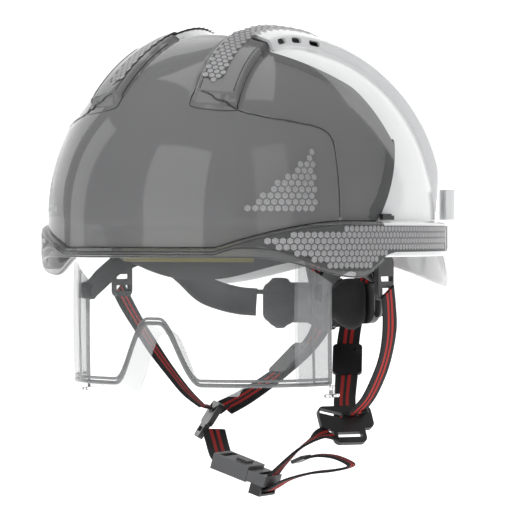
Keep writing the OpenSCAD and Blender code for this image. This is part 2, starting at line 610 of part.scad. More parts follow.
// Turns children so that local Z faces outward from the jaw at the left Y buckle
module at_y_buckle() {
    translate(yb_at) rotate([0, 0, -38]) rotate([0, 58, 0]) children();
}
module y_buckle() {
    // three-slot plate: two straps come in above and one leaves below
    at_y_buckle() difference() {
        linear_extrude(3.4) {
            translate([-2, 0]) rounded(16, 36, 4);
            translate([9, 0]) rounded(14, 22, 4);
        }
        for (a = [-1, 1]) translate([-5, a * 9, -1]) rotate([0, 0, a * 16]) translate([-1.8, -8, 0]) cube([3.6, 15.4, 6]);
        translate([8.6, -8.2, -1]) cube([3.4, 16.4, 6]);
    }
}
module y_buckle_left() { color("#2c2d30") y_buckle(); }
module y_buckle_right() { color("#2c2d30") mirror([1, 0, 0]) y_buckle(); }
slider_at = [20.5, 92.5, -69.5];
module rear_slider() {
    // plate on the rear strap, with two eyelets
    translate(slider_at) rotate([0, 0, -63]) rotate([0, 40, 0]) translate([0, 0, 2]) difference() {
        linear_extrude(1.8) rounded(28, 19, 3);
        for (y = [-4.5, 4.5]) translate([-9, y, -1]) cylinder(r = 1, h = 4);
    }
}
module rear_slider_left() { color("#202124") rear_slider(); }
module rear_slider_right() { color("#202124") mirror([1, 0, 0]) rear_slider(); }

short_path = [[-41, 27, -111], [-31, 15, -119], [-21, 2, -124.5], [-13, -8, -127.4]];
short_across = [[5, 10, 2], [6, 10, 0], [4, 10, 0], [1, 10, 0]];
long_path = [[22, -10, -136.2], [30, -7, -127], [37, 1, -118], [43, 13, -112], [45, 25, -110.5]];
long_across = [[0, 10, 0], [-2, 10, 0], [-3, 10, 1], [-3, 10, 2], [-3, 10, 3]];
tail_path = [[11.6, -10, -141.6], [20.6, -10, -143.6], [33, -8.6, -137], [48, -6, -132.5], [62, -2, -130.5],
    [70, 1.5, -128.5]];
tail_back = [[71, 2, -126.4], [62, 0, -122.6], [52, -2, -121.8], [44.4, -3.4, -123.2]];
module chin_strap_short() { color("#1a1a1a") ribbon(short_path, short_across, web_w, web_t, 4); }
module chin_strap_long() { color("#1a1a1a") ribbon(long_path, long_across, web_w, web_t, 4); }
module strap_tail() {
    color("#1a1a1a") ribbon(concat(tail_path, tail_back),
        [for (i = [0:9]) [-i / 3, 10, 0]], web_w, web_t, 3);
}
module strap_tip() {
    // heat-sealed end folded round the tail's return
    color("#101010") translate([40.6, -4.2, -125.4]) rotate([0, -24, 6]) slab(8, web_w + 1, 2.2, 1);
}

// ---- chin buckle, drawn along X and tilted into place ----
module at_buckle() {
    translate(buckle_at) rotate([0, buckle_tilt, 0]) children();
}
button_travel = 1.6;
module buckle_socket() {
    // flat box with a window above for the button and a strap bar at the left
    color("#303134") at_buckle() difference() {
        translate([-20, -10, -5]) cube([26, 20, 10]);
        translate([-8, -7, -2.6]) cube([16, 14, 5.2]);
        translate([-7.2, -4.2, 1]) cube([8.4, 8.4, 6]);
        translate([-17, -8.2, -6]) cube([4, 16.4, 12]);
    }
}
module buckle_plug() {
    // tongue inside the socket, shoulder and strap bar outside it
    color("#5a5c60") at_buckle() difference() {
        union() {
            translate([-6, -6.4, -2.2]) cube([13, 12.8, 2.4]);
            translate([6.3, -10, -4]) cube([13, 20, 7]);
        }
        translate([12.4, -8.2, -5]) cube([3.6, 16.4, 9]);
    }
}
module buckle_button() {
    color("#4a4b4f") at_buckle() union() {
        translate([-6.9, -3.9, 1.9]) cube([7.8, 7.8, 4.3]);
    }
}
module button_spring() {
    color("#b0b2b6") at_buckle() translate([-3, 0, 0.35]) difference() {
        cylinder(r = 2.2, h = 1.4);
        translate([0, 0, -1]) cylinder(r = 1.4, h = 4);
    }
}
module strap_keeper() {
    // square ring under the plug that holds the tail
    color("#1c1c1e") at_buckle() translate([14, 0, -7.3]) difference() {
        cube([8, 19.5, 6.4], center = true);
        cube([10, 16.4, 3.6], center = true);
    }
}

shell();
vent_ridge_left();
vent_ridge_right();
front_cover();
peak();
cover_clips();
lamp_clips();
ridge_decal_left();
ridge_decal_right();
brow_decal_left();
brow_decal_right();
side_decal_left();
side_decal_right();
rear_decal();
pivot_brackets();
pivot_screws();
visor_arm_left();
visor_arm_right();
lens();
nose_guard();
lens_hinge_left();
lens_hinge_right();
lens_tab_left();
lens_tab_right();
headband();
brow_pad();
rear_arm_left();
rear_arm_right();
harness_clips();
crown_strap_front();
crown_strap_side();
crown_pad();
nape_cradle();
nape_pad();
rack_left();
rack_right();
pinion();
ratchet_knob();
knob_screw();
side_hanger_left();
side_hanger_right();
rear_hanger();
side_strap_left();
side_strap_right();
rear_strap_left();
rear_strap_right();
y_buckle_left();
y_buckle_right();
rear_slider_left();
rear_slider_right();
chin_strap_short();
chin_strap_long();
strap_tail();
strap_tip();
buckle_socket();
buckle_plug();
buckle_button();
button_spring();
strap_keeper();
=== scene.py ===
"""Safety helmet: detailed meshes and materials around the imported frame. Metres, +Z up, the wearer faces -Y."""
import math

import bmesh
import bpy
import numpy as np
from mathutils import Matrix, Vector
from mathutils.bvhtree import BVHTree


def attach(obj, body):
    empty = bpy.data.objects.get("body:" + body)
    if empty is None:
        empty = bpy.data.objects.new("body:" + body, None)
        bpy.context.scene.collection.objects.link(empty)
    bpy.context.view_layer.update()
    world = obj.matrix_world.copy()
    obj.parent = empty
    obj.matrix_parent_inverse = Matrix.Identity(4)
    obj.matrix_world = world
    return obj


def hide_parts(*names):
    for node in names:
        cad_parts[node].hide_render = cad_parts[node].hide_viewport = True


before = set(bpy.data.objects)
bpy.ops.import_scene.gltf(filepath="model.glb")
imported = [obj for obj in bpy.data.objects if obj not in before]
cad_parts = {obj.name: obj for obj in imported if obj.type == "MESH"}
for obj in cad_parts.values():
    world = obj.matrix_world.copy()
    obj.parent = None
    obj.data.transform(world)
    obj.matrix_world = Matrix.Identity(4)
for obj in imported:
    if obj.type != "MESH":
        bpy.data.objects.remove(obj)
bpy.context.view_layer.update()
MM = 0.001

# ---- driving dimensions, in millimetres, as in the CAD source ----
SHELL_B, SHELL_A, SHELL_H, SHELL_T = 105.0, 130.0, 116.0, 2.6
PLAN_P, DOME_N, RIM_Z, GUTTER_Z = 2.4, 2.1, 22.0, 21.6
BAND_OUT, RIDGE_H, RIDGE_SPLIT, RIDGE_TURN = 7.2, 5.2, 0.312, 0.375
RIDGE_FRONT, RIDGE_LEN = -104.0, 184.0
BAND_START = 75.0
COVER_T, GAP = 2.0, 0.35
LENS_B, LENS_FRONT, LENS_T, LENS_P, LENS_C = 88.0, 112.0, 2.2, 2.8, -20.0
LENS_LOW, NOTCH_H, LENS_SPAN = -76.0, 36.0, 77.0
HEAD_B, HEAD_A = 73.0, 88.0
WEB_W, WEB_T = 15.0, 1.6
KNOB_Z = -31.0
CELL, CELL_FILL = 4.1, 0.86      # pitch of the hexagons in the reflective film, and how much of it they fill
VENT_AT = (0.384, 0.48, 0.577)   # the slots' places along a ridge, as shares of its length
COVER_END = 93.0                 # where the cover ends, in degrees from straight ahead
COVER_RIDGE, COVER_FOOT = 4.8, 15.0    # height and half width of the cover's bulge over a ridge
PANEL_STEP = 1.3                 # how far the brow panel stands out from the rest of the cover
MARGIN = 10.5                    # width of the cover's darker margin
YAW = 30                         # direction of the camera, in degrees from straight ahead
SIDES = ((1, "left"), (-1, "right"))


# ---- small maths ----
def vec(*v):
    return np.array(v, float)


def unit(v):
    return v / (np.linalg.norm(v) + 1e-12)


def spow(v, e):
    return math.copysign(abs(v) ** e, v)


def clamp(v, lo=0.0, hi=1.0):
    return max(lo, min(hi, v))


def smooth(v):
    s = clamp(v)
    return s * s * (3 - 2 * s)


def half_cos(v):
    return (1 - math.cos(math.pi * clamp(v))) / 2


def cosd(a):
    return math.cos(math.radians(a))


def sind(a):
    return math.sin(math.radians(a))


def spline(points, n):
    """Catmull-Rom curve through points, n steps between neighbours."""
    p = [np.array(q, float) for q in points]
    m = len(p) - 1
    out = []
    for i in range(m):
        a, b, c, d = p[max(i - 1, 0)], p[i], p[i + 1], p[min(i + 2, m)]
        for k in range(n):
            t = k / n
            out.append(0.5 * (2 * b + (c - a) * t + (2 * a - 5 * b + 4 * c - d) * t ** 2
                              + (3 * b - a - 3 * c + d) * t ** 3))
    return out + [p[m]]


# ---- the dome's surface ----
def plan_r(t, off=0.0):
    x = (abs(cosd(t)) / (SHELL_B + off)) ** PLAN_P
    y = (abs(sind(t)) / (SHELL_A + off)) ** PLAN_P
    return (x + y) ** (-1 / PLAN_P)


def wall_pt(t, off, z):
    r = plan_r(t, off)
    return vec(r * cosd(t), r * sind(t), z)


def dome_pt(t, e, off=0.0):
    r = plan_r(t, off) * max(cosd(e), 0) ** (2 / DOME_N)
    return vec(r * cosd(t), r * sind(t), RIM_Z + (SHELL_H + off) * max(sind(e), 0) ** (2 / DOME_N))


def dome_e(z):
    return 0.0 if z <= RIM_Z else math.degrees(math.asin(clamp((z - RIM_Z) / SHELL_H) ** (DOME_N / 2)))


def skin_pt(t, z, off=0.0):
    return wall_pt(t, off, z) if z <= RIM_Z else dome_pt(t, dome_e(z), off)


def plan_share(x, y):
    return ((abs(x) / SHELL_B) ** PLAN_P + (abs(y) / SHELL_A) ** PLAN_P) ** (1 / PLAN_P)


def dome_z(x, y):
    return RIM_Z + SHELL_H * max(0.0, 1 - plan_share(x, y) ** DOME_N) ** (1 / DOME_N)


def normal_at(p):
    s = max(plan_share(p[0], p[1]), 0.001)
    g = s ** (DOME_N - PLAN_P)
    gx = g * spow(p[0] / SHELL_B, PLAN_P - 1) / SHELL_B
    gy = g * spow(p[1] / SHELL_A, PLAN_P - 1) / SHELL_A
    gz = (max(p[2] - RIM_Z, 0) / SHELL_H) ** (DOME_N - 1) / SHELL_H
    return unit(vec(gx, gy, gz))


def outward_at(p, z):
    """Outward normal of the dome, or of the upright wall below its rim."""
    return normal_at(p) if z > RIM_Z else unit(vec(p[0] / SHELL_B ** 2, p[1] / SHELL_A ** 2, 0))


def sided(p, side):
    """A point of the wearer's left half, or its mirror image where side is -1."""
    return vec(side * p[0], p[1], p[2])


def phi_of(t):
    """Degrees from straight ahead, 0 to 180, of a plan direction t."""
    u = (t + 450) % 360
    return 360 - u if u > 180 else u


def front_gutter(phi):
    s = clamp((phi - 22) / 38)
    return 6 + 15.6 * (1 - (1 - s) ** 2)


def lobe_z(phi):
    if phi < 63:
        return -12 * half_cos((phi - 30) / 33)
    return -12 * (1 - half_cos((phi - 63) / 17))


def skirt(psi):
    return 4 + 16 * half_cos(psi / 40) if psi < 40 else max(0.0, 20 * (1 - (psi - 40) / 12))


def ridge_xy(s):
    if s < RIDGE_TURN:
        x = 31 + 7 * ((RIDGE_TURN - s) / RIDGE_TURN) ** 2
    else:
        x = 31 + 54 * ((s - RIDGE_TURN) / (1 - RIDGE_TURN)) ** 2
    return x, RIDGE_FRONT + RIDGE_LEN * s


def ridge_at(s):
    x, y = ridge_xy(min(s, 1.0))
    z = dome_z(x, y)
    if s <= 1:
        return vec(x, y, z)
    return skin_pt(math.degrees(math.atan2(y, x)), z - (z - 26) * (s - 1) / 0.2)


def ridge_frame(s):
    p = ridge_at(s)
    n = normal_at(p)
    tan = unit(ridge_at(min(s + 0.02, 1.2)) - ridge_at(max(s - 0.02, 0)))
    return p, unit(np.cross(n, tan)), n


def ridge_rise(s):
    return smooth((s + 0.005) / 0.04) * smooth((1.22 - s) / 0.25)


# ---- mesh building ----
def linked(name, data):
    ob = bpy.data.objects.new(name, data)
    bpy.context.scene.collection.objects.link(ob)
    return ob


def rework(me, *changes):
    """Runs bmesh changes on a mesh and stores the result."""
    bm = bmesh.new()
    bm.from_mesh(me)
    for change in changes:
        change(bm)
    bm.to_mesh(me)
    bm.free()


def face_outward(bm):
    bmesh.ops.recalc_face_normals(bm, faces=bm.faces)


def mesh_piece(name, verts, faces, material, body, slot, smooth_shade=True):
    """A mesh from lists, in millimetres, riding on a body."""
    me = bpy.data.meshes.new(name)
    me.from_pydata([tuple(float(c) * MM for c in v) for v in verts], [], faces)
    me.validate()
    rework(me, face_outward)
    ob = linked(name, me)
    me.materials.append(material)
    if smooth_shade:
        me.polygons.foreach_set("use_smooth", [True] * len(me.polygons))
    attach(ob, body)
    return ob


def stand_in(node, name, mesh, material, body, slot, degrees):
    """A smooth-shaded piece that stands for a CAD node."""
    ob = mesh_piece(name, *mesh, material, body, slot)
    auto_smooth(ob, degrees)
    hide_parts(node)
    return ob


def bead(name, path, radius, material, body, slot, sides=8, up=(0, 0, 1)):
    """A thin round bar along a path, as a piece of its own."""
    auto_smooth(mesh_piece(name, *tube(path, radius, sides, up), material, body, slot), 60)


def skin(rings, loop=False, closed_ring=True):
    """Vertices and faces of a surface through rings of points."""
    n = len(rings[0])
    m = len(rings)
    verts = [p for r in rings for p in r]
    faces = []
    for i in range(m if loop else m - 1):
        for j in range(n if closed_ring else n - 1):
            a, b = i * n + j, i * n + (j + 1) % n
            c, d = ((i + 1) % m) * n + (j + 1) % n, ((i + 1) % m) * n + j
            faces.append((a, b, c, d))
    if closed_ring and not loop:
        faces.append(tuple(range(n - 1, -1, -1)))
        faces.append(tuple((m - 1) * n + j for j in range(n)))
    return verts, faces


def apply_modifiers(ob):
    dg = bpy.context.evaluated_depsgraph_get()
    me = bpy.data.meshes.new_from_object(ob.evaluated_get(dg))
    old = ob.data
    ob.modifiers.clear()
    ob.data = me
    bpy.data.meshes.remove(old)


def auto_smooth(ob, degrees):
    """Smooth shading with the sharp edges kept."""
    me = ob.data
    me.polygons.foreach_set("use_smooth", [True] * len(me.polygons))
    limit = math.radians(degrees)

    def mark(bm):
        for e in bm.edges:
            e.smooth = len(e.link_faces) == 2 and e.calc_face_angle(0.0) < limit

    rework(me, mark)


def add_bevel(ob, width_mm, degrees, harden):
    mod = ob.modifiers.new("Bevel", "BEVEL")
    mod.width = width_mm * MM
    mod.segments = 2
    mod.limit_method = "ANGLE"
    mod.angle_limit = math.radians(degrees)
    mod.harden_normals = harden


def bevelled(ob, width_mm, degrees):
    add_bevel(ob, width_mm, degrees, False)
    apply_modifiers(ob)
    auto_smooth(ob, 40)


def subdivided(ob):
    mod = ob.modifiers.new("Subdivision", "SUBSURF")
    mod.levels = 1
    mod.render_levels = 1
    apply_modifiers(ob)
    ob.data.polygons.foreach_set("use_smooth", [True] * len(ob.data.polygons))


def joined(parts):
    """Several lists of vertices and faces as one."""
    verts, faces = [], []
    for v, f in parts:
        base = len(verts)
        verts += v
        faces += [tuple(i + base for i in q) for q in f]
    return verts, faces


def cut(ob, cutters):
    """Cuts closed meshes, given as vertices and faces in millimetres, out of a piece."""
    verts, faces = joined(cutters)
    me = bpy.data.meshes.new("cutter")
    me.from_pydata([tuple(c * MM for c in p) for p in verts], [], faces)
    rework(me, face_outward)
    tool = linked("cutter", me)
    mod = ob.modifiers.new("Cut", "BOOLEAN")
    mod.operation = "DIFFERENCE"
    mod.solver = "EXACT"
    mod.object = tool
    apply_modifiers(ob)
    bpy.data.objects.remove(tool)
    bpy.data.meshes.remove(me)


def prism(outline, h0, h1, place=lambda p: p):
    """Vertices and faces of an extruded outline, put in place by a function of (x, y, z)."""
    n = len(outline)
    verts = [place(vec(x, y, h0)) for x, y in outline] + [place(vec(x, y, h1)) for x, y in outline]
    faces = [(i, (i + 1) % n, n + (i + 1) % n, n + i) for i in range(n)]
    return verts, faces + [tuple(range(n - 1, -1, -1)), tuple(range(n, 2 * n))]


def rounded_outline(w, d, r):
    """A rectangle w by d with corners of radius r, five steps to a corner."""
    pts = []
    for k, (sx, sy) in enumerate([(1, 1), (-1, 1), (-1, -1), (1, -1)]):
        for i in range(6):
            a = math.radians(90 * k + 18 * i)
            pts.append((sx * (w / 2 - r) + r * math.cos(a), sy * (d / 2 - r) + r * math.sin(a)))
    return pts


# ---- materials ----
def nodes_of(name):
    mat = bpy.data.materials.new(name)
    mat.use_nodes = True
    nt = mat.node_tree
    bsdf = nt.nodes["Principled BSDF"]
    return mat, nt, bsdf


def add(nt, kind, wires=None, **values):
    """A shader node with inputs or settings by name, and wires from other nodes' outputs."""
    node = nt.nodes.new(kind)
    for key, value in values.items():
        if key in node.inputs:
            node.inputs[key].default_value = value
        else:
            setattr(node, key, value)
    for key, source in (wires or {}).items():
        nt.links.new(source, node.inputs[key])
    return node


def dress(nt, bsdf, wires, values):
    """Inputs of the Principled shader by name: from other nodes, and fixed."""
    for key, source in wires.items():
        nt.links.new(source, bsdf.inputs[key])
    for key, value in values.items():
        bsdf.inputs[key].default_value = value


def object_coords(nt):
    return add(nt, "ShaderNodeMapping", {"Vector": add(nt, "ShaderNodeTexCoord").outputs["Object"]}).outputs["Vector"]


def noise(nt, vector, scale, detail=4.0):
    return add(nt, "ShaderNodeTexNoise", {"Vector": vector}, Scale=scale, Detail=detail, Roughness=0.55).outputs["Fac"]


def cells(nt, vector, scale):
    return add(nt, "ShaderNodeTexVoronoi", {"Vector": vector}, Scale=scale).outputs["Distance"]


def ramp(nt, fac, stops):
    r = add(nt, "ShaderNodeValToRGB", {"Fac": fac})
    els = r.color_ramp.elements
    while len(els) < len(stops):
        els.new(0.5)
    for el, (pos, col) in zip(els, stops):
        el.position = pos
        el.color = (*col, 1)
    return r.outputs["Color"]


def to_range(nt, fac, low, high):
    return add(nt, "ShaderNodeMapRange", {"Value": fac}, **{"To Min": low, "To Max": high}).outputs["Result"]


def bump(nt, height, strength, distance):
    return add(nt, "ShaderNodeBump", {"Height": height}, Strength=strength, Distance=distance).outputs["Normal"]


def moulded(name, dark, light, rough=(0.3, 0.45), grain=900.0, depth=0.00004, coat=0.0, strength=0.25):
    """Moulded plastic: slight colour drift, fine grain and uneven gloss."""
    mat, nt, bsdf = nodes_of(name)
    v = object_coords(nt)
    dress(nt, bsdf, {"Base Color": ramp(nt, noise(nt, v, 18.0, 3.0), [(0.3, dark), (0.7, light)]),
                     "Roughness": to_range(nt, noise(nt, v, 60.0), *rough),
                     "Normal": bump(nt, noise(nt, v, grain, 2.0), strength, depth)},
          {"Coat Weight": coat, "Coat Roughness": 0.05})
    return mat


def see_through(name, tint, alpha, rough, smudge=0.04):
    """Thin clear or smoke plastic: part of it lets light straight through."""
    mat, nt, bsdf = nodes_of(name)
    v = object_coords(nt)
    dark = tuple(c * 0.93 for c in tint)
    dress(nt, bsdf, {"Base Color": ramp(nt, noise(nt, v, 9.0, 2.0), [(0.25, dark), (0.75, tint)]),
                     "Roughness": to_range(nt, noise(nt, v, 35.0), rough, rough + smudge)},
          {"IOR": 1.5, "Alpha": alpha, "Coat Weight": 0.6, "Coat Roughness": 0.03})
    return mat


def glassy(name, tint):
    """Solid clear plastic that bends light, for the finger tabs; shadow rays pass through it."""
    mat, nt, bsdf = nodes_of(name)
    dark = tuple(c * 0.95 for c in tint)
    dress(nt, bsdf, {"Base Color": ramp(nt, noise(nt, object_coords(nt), 20.0, 2.0), [(0.3, dark), (0.7, tint)])},
          {"Roughness": 0.02, "IOR": 1.49, "Transmission Weight": 1.0})
    clear = add(nt, "ShaderNodeBsdfTransparent", Color=(*tint, 1))
    mix = add(nt, "ShaderNodeMixShader", {"Fac": add(nt, "ShaderNodeLightPath").outputs["Is Shadow Ray"],
                                          1: bsdf.outputs["BSDF"], 2: clear.outputs["BSDF"]})
    nt.links.new(mix.outputs["Shader"], nt.nodes["Material Output"].inputs["Surface"])
    return mat


def woven_strap(name):
    """Black webbing with two red stripes. UV x runs across, 0 to 1; UV y along, in millimetres."""
    mat, nt, bsdf = nodes_of(name)
    uv = add(nt, "ShaderNodeUVMap", uv_map="Strap").outputs["UV"]
    split = add(nt, "ShaderNodeSeparateXYZ", {"Vector": uv})

    def wave(scale_x, scale_y):
        mapping = add(nt, "ShaderNodeMapping", {"Vector": uv}, Scale=(scale_x, scale_y, 0))
        return add(nt, "ShaderNodeTexWave", {"Vector": mapping.outputs["Vector"]}, wave_type="BANDS",
                   bands_direction="DIAGONAL", wave_profile="SIN", Scale=1.0, Distortion=0.4).outputs["Fac"]

    off, on = (0, 0, 0), (1, 1, 1)
    stripes = ramp(nt, split.outputs["X"], [
        (0.0, off), (0.28, off), (0.285, on), (0.43, on), (0.435, off),
        (0.565, off), (0.57, on), (0.715, on), (0.72, off)])
    weft, warp = wave(0.0, 0.62), wave(9.0, 0.31)
    ground = ramp(nt, weft, [(0.2, (0.010, 0.010, 0.011)), (0.8, (0.022, 0.022, 0.024))])
    red = ramp(nt, weft, [(0.15, (0.36, 0.016, 0.014)), (0.6, (0.62, 0.035, 0.03))])
    mix = add(nt, "ShaderNodeMix", data_type="RGBA")
    for key, source in ((0, stripes), (6, ground), (7, red)):
        nt.links.new(source, mix.inputs[key])
    height = add(nt, "ShaderNodeMath", {0: weft, 1: warp}, operation="ADD")
    dress(nt, bsdf, {"Base Color": mix.outputs[2], "Normal": bump(nt, height.outputs[0], 0.7, 0.0003)},
          {"Roughness": 0.8, "Specular IOR Level": 0.25, "Sheen Weight": 0.04})
    return mat


def cloth_foam(name, dark, light, thread=700.0, sheen=0.3):
    """Knitted face cloth over foam."""
    mat, nt, bsdf = nodes_of(name)
    v = object_coords(nt)
    dress(nt, bsdf, {"Base Color": ramp(nt, noise(nt, v, 40.0), [(0.3, dark), (0.75, light)]),
                     "Normal": bump(nt, cells(nt, v, thread), 0.6, 0.0004)},
          {"Roughness": 0.9, "Sheen Weight": sheen})
    return mat


def reflective(name):
    """Silver prismatic film, lighter in the middle of each cell."""
    mat, nt, bsdf = nodes_of(name)
    prisms = cells(nt, object_coords(nt), 900.0)
    dress(nt, bsdf, {"Base Color": ramp(nt, prisms, [(0.0, (0.42, 0.42, 0.43)), (0.8, (0.29, 0.29, 0.295))]),
                     "Normal": bump(nt, prisms, 0.35, 0.0001)},
          {"Roughness": 0.35, "Metallic": 0.25})
    return mat


def steel(name):
    mat, nt, bsdf = nodes_of(name)
    v = object_coords(nt)
    dress(nt, bsdf, {"Base Color": ramp(nt, noise(nt, v, 120.0), [(0.3, (0.45, 0.45, 0.46)), (0.7, (0.62, 0.62, 0.64))]),
                     "Roughness": to_range(nt, noise(nt, v, 300.0), 0.25, 0.45)},
          {"Metallic": 1.0})
    return mat


WHITE = moulded("shell_white", (0.80, 0.81, 0.82), (0.86, 0.865, 0.87), (0.12, 0.2), 260.0, 0.00001, 0.6, 0.03)
SMOKE = see_through("smoke_cover", (0.215, 0.216, 0.22), 0.72, 0.06)
SMOKE_MARGIN = see_through("smoke_margin", (0.11, 0.111, 0.114), 0.84, 0.06)
# dark smoke for the cover's rim line, and for painted shade lines along the brow panel's step and the creases of the
# ridges' bulge
SMOKE_EDGE_AND_SHADE = see_through("smoke_edge_and_shade_lines", (0.012, 0.012, 0.014), 0.93, 0.1)
CLEAR_PEAK = see_through("clear_peak", (0.16, 0.162, 0.166), 0.52, 0.05)
PEAK_EDGE = see_through("peak_edge", (0.02, 0.02, 0.022), 0.92, 0.06)
CLEAR_LENS = see_through("clear_lens", (0.62, 0.64, 0.65), 0.07, 0.02, smudge=0.03)
# painted reflection: the same clear plastic, greyer and less see-through, for the lens's slanted sides
LENS_SIDE_REFLECTION = see_through("lens_side_reflection", (0.42, 0.43, 0.44), 0.42, 0.05)
LENS_RIM = see_through("lens_rim", (0.17, 0.175, 0.18), 0.72, 0.08)
CLEAR_FLANGE = see_through("clear_flange", (0.55, 0.56, 0.57), 0.3, 0.12)
BACKING = moulded("decal_backing", (0.05, 0.051, 0.052), (0.07, 0.071, 0.073), (0.4, 0.5))
CLEAR_TAB = glassy("clear_rim", (0.90, 0.91, 0.92))
FILM = reflective("decal_film")
BLACK = moulded("black_plastic", (0.012, 0.012, 0.013), (0.020, 0.020, 0.022), (0.3, 0.45))
NYLON = moulded("harness_nylon", (0.020, 0.020, 0.022), (0.032, 0.032, 0.034), (0.4, 0.55), 1200.0)
GREY = moulded("buckle_grey", (0.085, 0.086, 0.09), (0.11, 0.112, 0.116), (0.35, 0.5), 1100.0)
OLIVE = cloth_foam("brow_foam", (0.15, 0.13, 0.035), (0.20, 0.175, 0.055))
FOAM = cloth_foam("nape_foam", (0.010, 0.010, 0.011), (0.018, 0.018, 0.020), 900.0, 0.15)
TEXTILE = cloth_foam("cradle_textile", (0.016, 0.016, 0.018), (0.03, 0.03, 0.032), 500.0)
WEBBING = woven_strap("webbing")
STEEL = steel("steel")


# ---- shell ----
def shell_ring_points(t):
    """Profile of the shell in one direction, from under the crown outside to under it inside."""
    g = GUTTER_Z
    pts = [dome_pt(t, e) for e in np.linspace(88.5, 0, 64)]
    if phi_of(t) > BAND_START - 0.01:
        d = skirt(180 - phi_of(t))
        f = d * 0.2
        low = -d
        prof = [(0, g), (0.3, g - 0.35), (1.2, g - 0.5), (4.4, g - 0.6), (5.8, g - 1.0), (6.8, g - 1.9),
                (BAND_OUT, g - 3.2), (BAND_OUT, 10), (BAND_OUT, 3.4), (BAND_OUT, 2.6)]
        prof += [(BAND_OUT + f * (1 - (1 - k) ** 1.6), 2.6 + (low + 1 - 2.6) * k) for k in (0.25, 0.5, 0.75, 1.0)]
        prof += [(BAND_OUT + f - 0.3, low + 0.3), (BAND_OUT + f - 0.8, low), (BAND_OUT + f - 2.2, low),
                 (BAND_OUT + f - 2.6, low + 0.4)]
        prof += [(BAND_OUT - 2.6 + f * (1 - k), low + 1 + (2.2 - low - 1) * k) for k in (0.1, 0.35, 0.65, 1.0)]
        prof += [(BAND_OUT - 3.2, 4), (BAND_OUT - 3.4, g - 6), (BAND_OUT - 4.2, g - 4.4), (0, g - 3.4),
                 (-SHELL_T, g - 2.6)]
    else:
        # no band under the cover: the rest of the profile is one point, so that every ring has as many
        prof = [(0, g), (0, g - 1.9), (-0.4, g - 2.3), (-1, g - 2.4), (-SHELL_T + 0.5, g - 2.4), (-SHELL_T, g - 2.0)]
        prof += [(-SHELL_T, g - 1.5)] * 21
    pts += [wall_pt(t, o, z) for o, z in prof]
    pts += [dome_pt(t, e, -SHELL_T) for e in np.linspace(0, 88.5, 48)]
    return pts


def vent_cutters(side):
    """Rounded slots through the outer flank of a ridge and the shell under it."""
    out = []
    for s in VENT_AT:
        p, u, n = ridge_frame(s)
        tan = np.cross(n, u)
        axis = unit(n * 0.5 - u * 0.86)
        at, *frame_axes = (sided(q, side) for q in (p - u * 11.6 + n * 2.4, np.cross(tan, axis), tan, axis))
        m = np.array(frame_axes).T
        out.append(prism(rounded_outline(3.5, 9.4, 1.5), -5.2, 5, lambda q: at + m @ q))
    return out


def merge_close(bm):
    bmesh.ops.remove_doubles(bm, verts=bm.verts, dist=0.00001)
    bmesh.ops.dissolve_degenerate(bm, edges=bm.edges, dist=1e-6)
    face_outward(bm)


def make_shell():
    dirs = list(np.arange(-15.0, 195.01, 1.5)) + [195.15] + list(np.linspace(196, 344, 99)) + [344.85]
    rings = [shell_ring_points(t) for t in dirs]
    verts, faces = skin(rings, loop=True, closed_ring=False)
    n, m = len(rings[0]), len(rings)
    faces.append(tuple(i * n for i in range(m)))
    faces.append(tuple(i * n + n - 1 for i in range(m - 1, -1, -1)))
    ob = mesh_piece("shell_skin", verts, faces, WHITE, "helmet", "shell_white")
    rework(ob.data, merge_close)
    auto_smooth(ob, 50)
    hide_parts("shell")
    cut(ob, vent_cutters(1) + vent_cutters(-1))
    auto_smooth(ob, 50)


def ridge_profile(half, top, low, high, wall):
    """Outline across a ridge: an arched outside with fillets at its feet, and a hollow."""
    flank = [(-half + (half - top) * k / 8, low + (high - low) * smooth(k / 8) ** 1.1) for k in range(9)]
    crown = [(-top + 2 * top * k / 10, high + 0.9 * math.sin(math.pi * k / 10)) for k in range(1, 10)]
    inner = [(half - wall - 1, low - 0.2), (top - 0.6, high - wall), (0, high - wall + 0.8), (-top + 0.6, high - wall),
             (-half + wall + 1, low - 0.2)]
    return flank + crown + [(-x, z) for x, z in reversed(flank)] + inner


def make_vent_ridge(side, name):
    low = -0.15
    profile = ridge_profile(14.6, 9.4, low, RIDGE_H, 1.6)
    steps = 110
    rings = []
    for i in range(steps + 1):
        s = RIDGE_SPLIT + (1.19 - RIDGE_SPLIT) * i / steps
        p, u, n = ridge_frame(s)
        rise = max(ridge_rise(s), 0.05)
        ring = []
        for x, z in profile:
            sag = 0.0045 * x * x    # the dome falls away beside the centre line
            ring.append(p + u * x + n * (low + (z - low) * rise - sag * (1 - smooth((z - low) / (RIDGE_H - low)))))
        rings.append(ring)
    verts, faces = skin(rings)
    ob = mesh_piece(name + "_moulding", [sided(v, side) for v in verts], faces, WHITE, "helmet", "shell_white")
    cut(ob, vent_cutters(side))
    auto_smooth(ob, 32)
    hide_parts(name)


# ---- front cover ----
def cover_top(phi):
    return 131 - 27 * (phi / 80) ** 2 - 32 * (max(0.0, phi - 78) / 16) ** 2 - 3.5 * smooth((phi - 16) / 20)


def cover_low(phi):
    return front_gutter(phi) + 0.4 if phi < 74 else 22 + 49 * ((phi - 74) / 20) ** 1.2


RIDGE_S = np.linspace(0, 0.4, 70)
RIDGE_PATH = np.array([ridge_at(v) for v in RIDGE_S])
# side border of the raised brow panel: degrees from straight ahead, by height
PANEL_Z = (20, 64, 69.6, 73, 75.2, 77, 78.9, 82.6, 94.4)
PANEL_PHI = (57, 57, 56.3, 54.5, 52, 47, 40, 29.7, 13.5)


def panel_inside(p, phi):
    """Distance in millimetres inside the border of the brow panel and the channel between the ridges."""
    if p[2] > 93:
        s = clamp((p[1] - RIDGE_FRONT) / RIDGE_LEN)
        return ridge_xy(s)[0] - 14.6 - abs(p[0])
    edge = float(np.interp(p[2], PANEL_Z, PANEL_PHI))
    slope = 0.45 if 72 < p[2] < 93 else 1.0
    return (edge - phi) * 1.95 * slope


